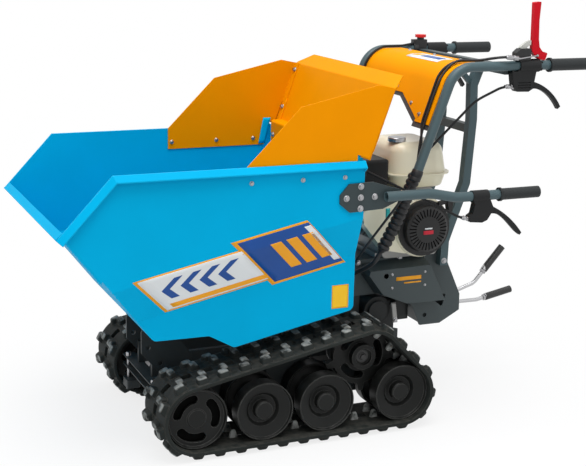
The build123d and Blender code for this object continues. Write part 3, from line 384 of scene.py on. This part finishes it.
# Inner lug, outer lug and horn: shift along the link, half length at foot and top, reach across
# at foot and at top, and the two heights.
half_table = [
    (-5, 14, 8.5, 17, 56, 18, 55, BELT - 2, TREAD),
    (6, 17, 12, 51, 85, 53, 76, BELT - 2, TREAD),
    (0, 12, 6, 16.5, 27.5, 17.5, 26.5, 1, -22),
]
table = half_table + [
    (a, foot, top, -y1, -y0, -y1_top, -y0_top, h0, h1)
    for a, foot, top, y0, y1, y0_top, y1_top, h0, h1 in half_table
]
for side, y in SIDES:
    points, quads = belt(y * TRACK_Y)
    more, blocks, tops = studs(y * TRACK_Y, table)
    track = put(
        "moulded_track_" + side,
        np.concatenate([points, more]),
        np.concatenate([quads, blocks + len(points)]),
        rubber,
        "frame",
        rubbed_and_lit=np.concatenate([np.zeros(len(points)), tops]),
    )
    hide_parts("track_" + side)


# Road wheels, idlers and sprockets: castings painted near black, with bare edges where belt and
# dirt rub, on zinc pins and a bolted steel drive axle. A near-black disc in each idler is painted shade seen
# through its windows.
def dress(material, *names):
    """Put a material on CAD nodes."""
    for name in names:
        nodes[name].data.materials.clear()
        nodes[name].data.materials.append(material)


def bolts(name, spots, out, material, body, size):
    """Hexagon heads on round flanges: stacked rings, each a share of the way from a circle to a hexagon.

    The size is half a head's width over its corners, and the rows are reach, height and share.
    """
    flange = [(1.28, 0, 0), (1.28, 0.14, 0), (1.16, 0.26, 0)]
    head = [(1, 0.3, 1), (1, 0.8, 1), (0.84, 0.98, 0.4), (0.45, 1, 0), (0, 1, 0)]
    reach, height, share = np.array(flange + head).T[:, :, None]
    around = 24
    angle = np.linspace(0, 2 * np.pi, around, endpoint=False)
    hexagon = np.cos(np.pi / 6) / np.cos(angle % (np.pi / 3) - np.pi / 6)
    far = size * reach * (1 + (hexagon - 1) * share)
    axis = np.array(out, float) / np.linalg.norm(out)
    across = np.cross(axis, (0.3, 0.2, 0.93))
    across /= np.linalg.norm(across)
    other = np.cross(axis, across)
    rings = far[..., None] * (np.cos(angle)[:, None] * across + np.sin(angle)[:, None] * other)
    rings = rings + size * height[..., None] * axis
    points = np.array(spots, float)[:, None, None, :] + rings
    put(name, points, ring_faces(len(spots), len(reach), around), material, body)


def turned(name, starts, ends, rows, material, body, around=20):
    """Pieces turned about straight lines: a circle at each (share of the line, radius) row."""
    starts, ends = np.array(starts, float), np.array(ends, float)
    share, far = np.array(rows, float).T
    axis = ends - starts
    across = np.cross(axis, (0.31, 0.9, 0.22))
    across /= np.linalg.norm(across, axis=1, keepdims=True)
    other = np.cross(axis / np.linalg.norm(axis, axis=1, keepdims=True), across)
    angle = np.linspace(0, 2 * np.pi, around, endpoint=False)
    circle = np.cos(angle)[:, None] * across[:, None] + np.sin(angle)[:, None] * other[:, None]
    middle = starts[:, None] + axis[:, None] * share[:, None]
    points = middle[:, :, None] + far[:, None, None] * circle[:, None]
    put(name, points, ring_faces(len(starts), len(rows), around), material, body)


AXLE_END = 268
WEB_RADIUS = 73.5
WEB_FACES = (44, 48)
wheel = finish_of(
    "wheel_paint",
    (0.008, 0.0086, 0.008),
    (0.16, 0.16, 0.15),
    gloss=0.18,
    Rough=0.36,
    Wear=0.9,
    Edge=0.003,
    Dust=0.12,
)
zinc = finish_of(
    "zinc_plate", (0.37, 0.37, 0.38), (0.75, 0.75, 0.74), metal=1.0, gloss=0.5, Rough=0.24, Cloud=0.14
)
axle_steel = finish_of("axle_steel", (0.05, 0.05, 0.05), (0.3, 0.3, 0.3), metal=0.7, gloss=0.4, Rough=0.38)
# Painted shade: a near-black finish for the idler discs, standing for the dark seen through the idler
# windows.
inside = finish_of("idler_painted_shade", (0.002, 0.0022, 0.002), (0.01, 0.01, 0.01), gloss=0.05, Rough=0.7)
dress(axle_steel, "drive_axle")
(idler_x, idler_z), (drive_x, drive_z) = WHEELS[:2, :2]
web_rows = [(0, 0), (0, WEB_RADIUS), (1, WEB_RADIUS), (1, 0)]
for side, y in SIDES:
    dress(wheel, "road_wheels_" + side, "idler_" + side, "sprocket_" + side)
    dress(zinc, "wheel_pins_" + side)
    back, face = ((idler_x, y * (TRACK_Y + out), idler_z) for out in WEB_FACES)
    turned("idler_shade_web_" + side, [back], [face], web_rows, inside, "frame", around=48)
    bolts("axle_bolt_" + side, [(drive_x, y * AXLE_END, drive_z)], (0, y, 0), axle_steel, "frame", size=9)


# Chassis, track frames, rear box and bars: welded plate and tube in anthracite powder coat, held
# by zinc bolts and clamp studs; the tubes that are handled are a bluer grey. The parts low in the
# machine take a darker copy of the coat as painted shade. A bracket inside each track carries the
# drive, a near-black plate in the box is painted shade over a gap, and the skip rests on black buffers.
def grid_quads(rows, columns):
    """Quads of a grid of points, row by row."""
    i, j = np.meshgrid(np.arange(rows - 1), np.arange(columns - 1), indexing="ij")
    first = i * columns + j
    return np.stack([first, first + 1, first + columns + 1, first + columns], -1).reshape(-1, 4)


def between(corners, rows, columns):
    """Grid of points between four corners, straight along its rows and between them."""
    a, b, c, d = np.array(corners, float)
    u, v = np.meshgrid(np.linspace(0, 1, columns), np.linspace(0, 1, rows))
    low = a + (b - a) * u[..., None]
    high = d + (c - d) * u[..., None]
    return low + (high - low) * v[..., None]


def thicken(piece, thick, offset):
    """Give a surface its thickness in millimetres, both ways at offset 0 and inwards at -1."""
    wall = piece.modifiers.new("wall", "SOLIDIFY")
    wall.thickness = thick * 0.001
    wall.offset = offset


def plate(name, corners, material, body, thick):
    """Flat plate between four corners, with half its thickness to each side of them."""
    rows, columns = 9, 5
    piece = put(name, between(corners, rows, columns), grid_quads(rows, columns), material, body)
    thicken(piece, thick, offset=0)


def oblong(y, x_ends, z_ends):
    """Corners of an upright oblong that faces sideways at one y."""
    (x0, x1), (z0, z1) = x_ends, z_ends
    return [(x0, y, z0), (x1, y, z0), (x1, y, z1), (x0, y, z1)]


BRACKET_Y = 150
SHADE_PLATE_Y = 50
STUD_X = 464
STUD_Y = 124
STUD_ENDS = (50, 161)
COVER_Y = 128
dark = finish_of(
    "dark_paint", (0.048, 0.062, 0.064), (0.16, 0.18, 0.18), gloss=0.3, Rough=0.4, Wear=0.6, Grain=0.14
)
dress(dark, "rear_plates", "rear_floor", "engine_deck", "belt_cover", "upright_cross_bar")
dress(dark, "bar_yoke", "axle_tubes", "cross_tube")
# Painted shade: a darker copy of the anthracite coat for the rails, uprights, cross member, track frames and
# plates low in the machine.
shaded = finish_of(
    "anthracite_painted_shade", (0.02, 0.025, 0.026), (0.1, 0.11, 0.11), gloss=0.3, Rough=0.42, Wear=0.6, Dust=0.2
)
dress(shaded, "chassis_rails", "front_uprights", "front_cross_member")
dress(shaded, "track_frame_left", "track_frame_right")
grey = finish_of("grey_paint", (0.05, 0.085, 0.095), (0.2, 0.25, 0.27), gloss=0.35, Rough=0.34, Wear=0.6)
dress(grey, "handlebar_left", "handlebar_right", "rear_uprights")
black = finish_of(
    "black_plastic", (0.009, 0.0095, 0.01), (0.05, 0.05, 0.05), gloss=0.22, Rough=0.4, Grain=0.25, Wear=0.5
)
dress(black, "rest_buffers")
dress(zinc, "hinge_pin")
box_spots = ((-435, 100.5, 410), (-300, 75.5, 424), (-165, 75.5, 421))
for side, y in SIDES:
    bracket = [(x, y * BRACKET_Y, z) for x, z in ((-50, 95), (-262, 95), (-262, 235), (-60, 290))]
    plate("drive_bracket_" + side, bracket, shaded, "frame", thick=4)
    spots = [(x, y * out, z) for x, out, z in box_spots]
    bolts("box_bolts_" + side, spots, (0, y, 0), zinc, "frame", size=7)
stud_rows = [(0, 0), (0, 7), (0.09, 7), (0.1, 4.5), (0.86, 4.5), (0.87, 7.5), (0.98, 7.5), (1, 6), (1, 0)]
stud_feet, stud_tops = ([(STUD_X, y, z) for y in (-STUD_Y, STUD_Y)] for z in STUD_ENDS)
turned("clamp_studs", stud_feet, stud_tops, stud_rows, zinc, "frame")
# A near-black plate inside the rear box, painted shade that closes a gap where white would show through.
plate("box_shade_plate", oblong(SHADE_PLATE_Y, (-398, -486), (240, 304)), shaded, "frame", thick=4)
cover_spots = [(x, COVER_Y, z) for x, z in ((-251, 391), (-358, 391), (-359, 351), (-252, 351))]
bolts("cover_bolts", cover_spots, (0, 1, 0), zinc, "frame", size=3.2)

# Skip: folded steel sheet in blue powder coat, on dark hinge lugs. The guard is bolted through
# its sides, with nuts inside, and a gusset is welded in at each rear corner.
SKIP_Y = 332
NUT_Y = 325.9
GUSSET_Y = 324
BOLT_ROW_Z = 730
blue = finish_of(
    "blue_paint",
    (0.0, 0.36, 0.635),
    (0.05, 0.55, 0.82),
    gloss=0.03,
    Rough=0.42,
    Wear=0.7,
    Edge=0.0022,
    Cloud=0.04,
)
dress(blue, "tub_side_left", "tub_side_right", "tub_floor")
dress(dark, "tub_hinge_lugs")
for side, y in SIDES:
    outer_spots, inner_spots = ([(x, y * out, BOLT_ROW_Z) for x in (266, 125, 6)] for out in (SKIP_Y, NUT_Y))
    bolts("skip_bolts_" + side, outer_spots, (0, y, 0), zinc, "tub", size=4.9)
    gusset = [(x, y * GUSSET_Y, z) for x, z in ((-11, 713), (-30, 713), (-50, 791), (-26, 791))]
    plate("skip_gusset_" + side, gusset, blue, "tub", thick=2.4)
    bolts("skip_nuts_" + side, inner_spots, (0, -y, 0), zinc, "tub", size=4.9)

# Side decal and sticker: printed vinyl stuck over the folds of the left side, with plain bars
# and arrowheads. The side folds out between two heights that are measured above a sloping line.
FOLD_HEIGHTS = (501, 609)
FOLD_Y = (292, SKIP_Y)
FOLD_SLOPE = 0.209


def vinyl_of(name, colour, worn, cloud=0.07):
    """Finish of a printed film: glossy, with no worn edges."""
    return finish_of(name, colour, worn, gloss=0.3, Rough=0.3, Wear=0.0, Edge=0.0001, Cloud=cloud)


def vinyl(name, material, patches):
    """Patches between four corners (x, height above the sloping line), set on the side by its fold."""
    rows, columns = 34, 10
    points = []
    for lift, corners in patches:
        x, height = np.moveaxis(between(corners, rows, columns), -1, 0)
        y = np.interp(height, FOLD_HEIGHTS, FOLD_Y) + lift
        points.append(np.stack([x, y, height - FOLD_SLOPE * x], -1))
    shift = rows * columns * np.arange(len(patches))[:, None, None]
    quads = (grid_quads(rows, columns) + shift).reshape(-1, 4)
    film = put(name, points, quads, material, "tub")
    thicken(film, thick=0.2, offset=-1)


def slanted(x0, x1, low, high):
    """Corners of a parallelogram that leans forward with height."""
    lean = 0.82 * (high - low)
    return [(x0, low), (x1, low), (x1 + lean, high), (x0 + lean, high)]


def arrow(tip):
    """Corners of the two arms of an arrowhead that points forward."""
    low, middle, high = 541, 571, 601
    swept_back, width = 30, 22
    heel = tip - swept_back - width
    return [
        [(tip - swept_back, low), (heel, low), (tip - width, middle), (tip, middle)],
        [(tip, middle), (tip - width, middle), (heel, high), (tip - swept_back, high)],
    ]


vinyl_white = vinyl_of("vinyl_white", (0.66, 0.68, 0.68), (0.75, 0.75, 0.75), 0.03)
vinyl_orange = vinyl_of("vinyl_orange", (0.8, 0.33, 0.004), (0.9, 0.5, 0.1), 0.05)
vinyl_navy = vinyl_of("vinyl_navy", (0.003, 0.06, 0.27), (0.1, 0.2, 0.4), 0.1)
vinyl_yellow = vinyl_of("vinyl_yellow", (0.82, 0.48, 0.01), (0.9, 0.6, 0.1), 0.06)
vinyl("decal_edges", vinyl_orange, [(0.3, slanted(483, 196, 504, 621)), (0.5, slanted(190, -20, 487, 647))])
vinyl("decal_strip", vinyl_white, [(0.55, slanted(478, 202, 508, 617))])
vinyl("decal_block", vinyl_navy, [(0.8, slanted(183, -13, 493, 641))])
long_bar = (0.75, slanted(462, 202, 512, 526))
short_bars = [(1.05, slanted(x, x - 30, 522, 612)) for x in (140, 96, 52)]
vinyl("decal_bars", vinyl_orange, [long_bar] + short_bars)
vinyl("decal_arrows", vinyl_navy, [(0.75, arm) for tip in (500, 450, 400, 350) for arm in arrow(tip)])
vinyl("decal_end_bar", vinyl_white, [(1.05, slanted(14, -4, 503, 632))])
vinyl("side_sticker_edge", vinyl_orange, [(0.3, [(17, 432), (-32, 422), (-32, 357), (17, 367)])])
vinyl("side_sticker", vinyl_yellow, [(0.55, [(15, 429), (-30, 420), (-30, 360), (15, 369)])])

# Belt cover bars: two plain strips of the same orange vinyl, one under the other, stuck flat on
# the cover's outer face.
for name, x_ends, z_ends in (
    ("cover_bar", (-264, -346), (371, 382)),
    ("cover_line", (-290, -346), (361, 365)),
):
    plate(name, oblong(COVER_Y + 0.1, x_ends, z_ends), vinyl_orange, "frame", thick=0.3)

# Guard on the skip: bent sheets in orange powder coat. Each side turns in to an ear that leans
# back and is bolted to the rear panel; a tab and a short fold stiffen the ear's foot.
GUARD_SHEET = 3
EAR_BOLT_Y = 312
PANEL_BOLT_X = -44.4
PANEL_BOLT_Y = 288
PANEL_BOLT_Z = 745
TAB_Y = (297, 325.6)
FOLD_PLATE_Y = 327.6
FOLD_DEPTH = (0.2, 30)
FOOT_SHARES = (-0.1, 0.36)
orange = finish_of(
    "orange_paint", (0.78, 0.262, 0.0), (0.95, 0.45, 0.0), gloss=0.03, Rough=0.4, Wear=0.7, Cloud=0.05
)
dress(orange, "guard_side_left", "guard_side_right", "guard_rear_panel")
foot = np.array([-73.0, 0, 787.0])
ear = np.array([-60.0, 0, 169.0])
ear_out = np.array([ear[2], 0, -ear[0]]) / np.hypot(ear[0], ear[2])


def on_ear(t, out, y):
    """Point a share t up the ear, a distance out from its rear face."""
    return foot + ear * t + ear_out * out + (0, y, 0)


for side, y in SIDES:
    front, back = GUARD_SHEET, -GUARD_SHEET - 0.1
    spots, back_spots = ([on_ear(t, out, y * EAR_BOLT_Y) for t in (0.22, 0.88)] for out in (front, back))
    bolts("guard_bolts_" + side, spots, ear_out, zinc, "tub", size=6)
    bolts("guard_nuts_" + side, back_spots, -ear_out, zinc, "tub", size=5.2)
    panel_spot = (PANEL_BOLT_X, y * PANEL_BOLT_Y, PANEL_BOLT_Z)
    bolts("panel_bolts_" + side, [panel_spot], (1, 0, 0), zinc, "tub", size=6)
    low, high = FOOT_SHARES
    inner, outer = TAB_Y
    tab = [(low, inner), (low, outer), (high, outer), (high, inner)]
    tab = [on_ear(t, GUARD_SHEET / 2, y * wide) for t, wide in tab]
    plate("guard_tab_" + side, tab, orange, "tub", thick=2.8)
    near, deep = FOLD_DEPTH
    fold = [(low, near), (low, deep), (high, deep), (high, near)]
    fold = [on_ear(t, out, y * FOLD_PLATE_Y) for t, out in fold]
    plate("guard_fold_" + side, fold, orange, "tub", thick=2.0)

# Tip handle: grey tube on a dark plate that five bolts hold to the skip's side, with a moulded
# rubber grip, and a black release lever whose cable ends in a metal ferrule.
TIP_PLATE_Y = 337.1
plate_paint = finish_of(
    "tip_plate_paint", (0.029, 0.043, 0.046), (0.14, 0.17, 0.18), gloss=0.3, Rough=0.4, Wear=0.6
)
dress(plate_paint, "tip_plate")
dress(grey, "tip_tube")
tip_spots = ((-38, 674.5), (3, 674.5), (-79, 674.5), (-38, 704), (-38, 645))
bolts("tip_bolts", [(x, TIP_PLATE_Y, z) for x, z in tip_spots], (0, 1, 0), zinc, "tub", size=6.8)
dress(black, "tip_lever", "tip_cable")
grip_rubber = finish_of(
    "grip_rubber", (0.013, 0.016, 0.017), (0.1, 0.11, 0.11), gloss=0.3, Rough=0.45, Grain=0.4
)
dress(grip_rubber, "tip_grip")
ferrule_rows = [(0, 0), (0, 6.2), (0.3, 6.2), (0.32, 5), (0.5, 5)]
ferrule_rows += [(0.52, 6.4), (0.8, 6.4), (0.84, 4.6), (1, 4.6), (1, 0)]
turned("tip_ferrule", [(-361, 350.6, 597)], [(-337, 350.6, 602.4)], ferrule_rows, zinc, "tub")

# Engine: cream enamel tank and fan shroud, cast block, black fan cover and air box, sooty
# muffler, and a pressed filler cap of bright metal. The gear case under it is painted dark, with
# a shift arm bolted to its side.
FAN_COVER_Y = 173
SHROUD_Y = 134.2
HOUSING_Y = 10
ARM_Y = 104
cream = finish_of(
    "cream_enamel",
    (0.76, 0.72, 0.545),
    (0.66, 0.62, 0.5),
    gloss=0.4,
    coat=0.15,
    Rough=0.26,
    Grain=0.03,
    Cloud=0.05,
)
dress(cream, "fuel_tank", "fan_shroud")
cast = finish_of(
    "cast_alloy", (0.3, 0.3, 0.29), (0.5, 0.5, 0.5), metal=0.8, gloss=0.5, Rough=0.45, Grain=0.5, Cloud=0.2
)
dress(cast, "engine_block")
burnt = finish_of(
    "muffler_steel", (0.1, 0.09, 0.08), (0.25, 0.23, 0.2), metal=0.7, gloss=0.4, Rough=0.5, Cloud=0.25
)
dress(burnt, "muffler")
fan_black = finish_of(
    "fan_cover_black", (0.012, 0.012, 0.012), (0.09, 0.09, 0.09), gloss=0.35, Rough=0.42, Grain=0.2
)
dress(fan_black, "recoil_cover")
dress(black, "air_cleaner")
dress(zinc, "filler_cap")
badge_red = vinyl_of("badge_red", (0.5, 0.012, 0.03), (0.6, 0.1, 0.1))
for name, material, x_ends, z_ends in (
    ("cover_badge", badge_red, (-322, -354), (514, 525)),
    ("cover_badge_line", vinyl_white, (-326, -350), (529, 533)),
):
    plate(name, oblong(FAN_COVER_Y, x_ends, z_ends), material, "frame", thick=1.2)
label_teal = finish_of("label_teal", (0.02, 0.42, 0.4), (0.2, 0.6, 0.6), gloss=0.3, Rough=0.3, Cloud=0.08)
label = oblong(SHROUD_Y, (-219, -233), (562, 590))
plate("shroud_label", label, label_teal, "frame", thick=0.3)
case_paint = finish_of(
    "gear_case_paint",
    (0.012, 0.014, 0.014),
    (0.06, 0.065, 0.065),
    gloss=0.3,
    Rough=0.46,
    Grain=0.5,
    Cloud=0.2,
    Dust=0.2,
)
dress(case_paint, "gearbox")
# A dark box for the gear levers' housing, which also fills the gap behind the cover as painted shade.
shift_box = oblong(HOUSING_Y, (-298, -346), (228, 332))
plate("shift_housing_and_shade", shift_box, case_paint, "frame", thick=90)
arm = [(x, ARM_Y, z) for x, z in ((-270, 238), (-285, 238), (-277, 300), (-262, 300))]
plate("shift_arm", arm, cast, "frame", thick=5)
bolts("shift_arm_bolt", [(-277, ARM_Y + 2.4, 246)], (0, 1, 0), zinc, "frame", size=6)

# Gear levers: zinc rods that end in black moulded sleeves, each locked by a nut. The left one is
# shorter, so its sleeve starts further forward.
SLEEVE_START = -0.6585
LEFT_FORWARD = 0.033
levers = finish_of(
    "gear_lever_zinc", (0.5, 0.5, 0.51), (0.75, 0.75, 0.74), gloss=0.5, Rough=0.3, Wear=0.0, Grain=0.03
)
tree = levers.node_tree
place = node(tree, "ShaderNodeSeparateXYZ", [(0, where(tree))]).outputs
left_one = maths(tree, "GREATER_THAN", place["Y"], 0.0)
sleeve_start = maths(tree, "MULTIPLY_ADD", left_one, LEFT_FORWARD, SLEEVE_START)
sleeve = maths(tree, "LESS_THAN", place["X"], sleeve_start)
second_colour(levers, sleeve, (0.014, 0.014, 0.014))
bare = maths(tree, "SUBTRACT", 1.0, sleeve)
tree.links.new(bare, tree.nodes["Principled BSDF"].inputs["Metallic"])
dress(levers, "gear_levers")
nut_rows = [(0, 0), (0, 8.6), (0.12, 9.8), (0.88, 9.8), (1, 8.6), (1, 0)]
nut_starts = [(-619.2, 18, 336.7), (-649.3, -18, 242.1)]
nut_ends = [(-625.8, 18, 344.1), (-658.6, -18, 243.9)]
turned("gear_lever_nuts", nut_starts, nut_ends, nut_rows, zinc, "frame", around=6)

# Hood: amber sheet bent over the bars' bend and bolted to its dark frame, with a printed film
# over the bend. The sheet is flat on top, then round, then falls in a straight slope.
HOOD_TOP = 1004
TOP_BOLT_X = -430
BEND_START = -396.1
BEND_RADIUS = 73.5
SLOPE_FOOT = (-284, 840)
SLOPE_RUN = 61
SLOPE_FALL = 164
amber = finish_of(
    "amber_paint", (0.8, 0.285, 0.0), (0.98, 0.55, 0.05), gloss=0.03, Rough=0.46, Wear=0.6, Cloud=0.05
)
dress(amber, "hood")
hood_dark = finish_of("hood_frame_paint", (0.05, 0.052, 0.054), (0.15, 0.15, 0.15), gloss=0.3, Rough=0.4)
dress(hood_dark, "hood_frame")
hood_spots = [
    (SLOPE_FOOT[0] - (z - SLOPE_FOOT[1]) * SLOPE_RUN / SLOPE_FALL, y, z)
    for y, z in ((0, 919), (109, 884), (173, 861), (-109, 884), (-173, 861))
]
bolts("hood_bolts", hood_spots, (SLOPE_FALL, 0, SLOPE_RUN), zinc, "frame", size=4.6)


def over_bend(name, material, lift, lengths, widths):
    """Film over the hood's bend: flat behind the arc's start, then round it by length over radius."""
    rows, columns = 17, 5
    s, y = np.meshgrid(np.linspace(*lengths, rows), np.linspace(*widths, columns), indexing="ij")
    turn = np.maximum(s, 0) / BEND_RADIUS
    x = BEND_START + np.minimum(s, 0) + (BEND_RADIUS + lift) * np.sin(turn)
    z = HOOD_TOP - BEND_RADIUS + (BEND_RADIUS + lift) * np.cos(turn)
    points = np.stack([x, y, z], -1)
    film = put(name, points, grid_quads(rows, columns), material, "frame")
    thicken(film, thick=0.3, offset=0)


over_bend("hood_label", vinyl_white, lift=0.2, lengths=(-26, 30), widths=(-58, 128))
over_bend("hood_label_bar", vinyl_navy, lift=0.5, lengths=(-12, 14), widths=(2, 112))
over_bend("hood_label_end", vinyl_orange, lift=0.5, lengths=(-12, 14), widths=(-46, -12))
top_spots = [(TOP_BOLT_X, y, HOOD_TOP) for y in (-150, 0, 150)]
bolts("hood_top_bolts", top_spots, (0, 0, 1), zinc, "frame", size=4.6)

# Hand controls: rubber grips, black clutch levers, a red coated brake lever, and black plastic
# housings whose upper part is a red stop button or a pale thumb throttle. The cables end in
# turned metal, one with a brake rod.
red = finish_of("red_lever", (0.52, 0.003, 0.012), (0.7, 0.1, 0.1), gloss=0.12, Rough=0.32)
dress(red, "brake_lever")
dress(grip_rubber, "bar_grips")
dress(black, "clutch_levers")
for name, piece, top_from, top_colour in (
    ("stop_box_plastic", "stop_box", 1.0324, (0.6, 0.012, 0.012)),
    ("throttle_plastic", "throttle_lever", 1.0452, (0.5, 0.5, 0.46)),
):
    housing = finish_of(name, (0.014, 0.014, 0.014), (0.1, 0.1, 0.1), gloss=0.35, Rough=0.38, Grain=0.2)
    tree = housing.node_tree
    height = node(tree, "ShaderNodeSeparateXYZ", [(0, where(tree))]).outputs["Z"]
    second_colour(housing, maths(tree, "GREATER_THAN", height, top_from), top_colour)
    dress(housing, piece)
end_rows = [(0, 0), (0, 4.2), (0.12, 6.4), (0.4, 6.8), (0.42, 5.2), (0.5, 5.2)]
end_rows += [(0.52, 7.2), (0.78, 7.2), (0.84, 3), (1, 2.4), (1, 0)]
turned("brake_ferrule", [(-495, 280, 1024)], [(-543, 280, 1018.6)], end_rows, zinc, "frame")
rod_rows = [(0, 0), (0, 2.2), (0.92, 2.2), (0.93, 4), (0.99, 4), (1, 3), (1, 0)]
turned("brake_rod", [(-541, 280, 1018.8)], [(-604, 271, 1025)], rod_rows, zinc, "frame", around=12)
turned("clutch_ferrules", [(-537, 262, 939)], [(-507, 262, 941.6)], ferrule_rows, zinc, "frame")


# Cable bundle: cables in a wound plastic wrap from the left bar's lower end into the rear box,
# taped at its top. The wrap stands out in even turns, and plain cables come in from the bars and
# the hood and run down beside it.
def along_route(stops, count):
    """Even points along a smooth spline led by the stops, with two directions across it at each."""
    route = bpy.data.curves.new("route", "CURVE")
    route.dimensions = "3D"
    line = route.splines.new("NURBS")
    line.points.add(len(stops) - 1)
    line.points.foreach_set("co", np.c_[np.array(stops, float), np.ones(len(stops))].ravel())
    line.order_u = 3
    line.use_endpoint_u = True
    line.resolution_u = 24
    guide = bpy.data.objects.new("route", route)
    sampled = bpy.data.meshes.new_from_object(guide)
    path = np.empty(len(sampled.vertices) * 3)
    sampled.vertices.foreach_get("co", path)
    path = path.reshape(-1, 3)
    bpy.data.objects.remove(guide)
    bpy.data.meshes.remove(sampled)
    far = np.concatenate([[0], np.cumsum(np.linalg.norm(np.diff(path, axis=0), axis=1))])
    s = np.linspace(0, far[-1], count)
    path = np.stack([np.interp(s, far, path[:, k]) for k in range(3)], -1)
    ahead = np.gradient(path, axis=0)
    across = np.cross(ahead, (0.9, 0.3, 0.0))
    across /= np.linalg.norm(across, axis=1, keepdims=True)
    other = np.cross(ahead / np.linalg.norm(ahead, axis=1, keepdims=True), across)
    return s, path, across, other


def swept(name, stops, radius_at, material, around, count):
    """Round skin along a route: at each length a circle with the radius that radius_at gives."""
    s, path, across, other = along_route(stops, count)
    radius = radius_at(s)
    radius[[0, -1]] = 0
    path[0], path[-1] = path[1], path[-2]
    angle = np.linspace(0, 2 * np.pi, around, endpoint=False)
    circle = np.cos(angle)[:, None] * across[:, None] + np.sin(angle)[:, None] * other[:, None]
    points = path[:, None] + radius[:, None, None] * circle
    return put(name, points, ring_faces(1, count, around), material, "frame")


def wound(s):
    """Radius of the wrap: a half wave for each turn, then down to the bare cables where it ends."""
    core, proud, turn = 12.5, 6.0, 17
    bare, wrap_end, taper = 7, 232, 14
    wrapped = core + proud * np.sqrt(np.abs(np.sin(np.pi * s / turn)))
    return wrapped + (bare - wrapped) * np.clip((s - wrap_end) / taper, 0, 1)


def plain(s):
    """Radius of a plain cable, the same all along."""
    return np.full_like(s, 3.5)


dress(black, "control_cables")
wrap = finish_of("wrap_plastic", (0.013, 0.013, 0.014), (0.08, 0.08, 0.08), gloss=0.35, Rough=0.4, Grain=0.2)
bundle_route = [
    (-256, 230, 704),
    (-242, 214, 640),
    (-222, 192, 560),
    (-186, 176, 476),
    (-160, 168, 430),
    (-128, 75.5, 385),
]
bundle = swept("wound_bundle", bundle_route, wound, wrap, around=24, count=300)
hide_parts("wrapped_bundle")
lower_cable_route = [
    (-250, 236, 700),
    (-222, 230, 640),
    (-180, 202, 568),
    (-152, 186, 521),
    (-132, 168, 480),
    (-124, 128, 430),
    (-124, 75.5, 392),
]
swept("lower_cable", lower_cable_route, plain, wrap, around=12, count=120)
hood_cable_route = [
    (-497, 280, 1024),
    (-474, 258, 1021),
    (-442, 224, 1010),
    (-346, 218, 1014),
    (-278, 222, 842),
    (-262, 232, 760),
    (-257, 231, 700),
]
swept("second_cable", hood_cable_route, plain, wrap, around=12, count=160)
tape_rows = [(0, 0), (0, 14.6), (0.04, 15.6), (0.3, 15.9), (0.34, 15.2), (0.38, 16)]
tape_rows += [(0.7, 16.2), (0.96, 15.4), (1, 14.4), (1, 0)]
turned("bar_tape", [(-236, 262, 693)], [(-247, 262, 722)], tape_rows, wrap, "frame")
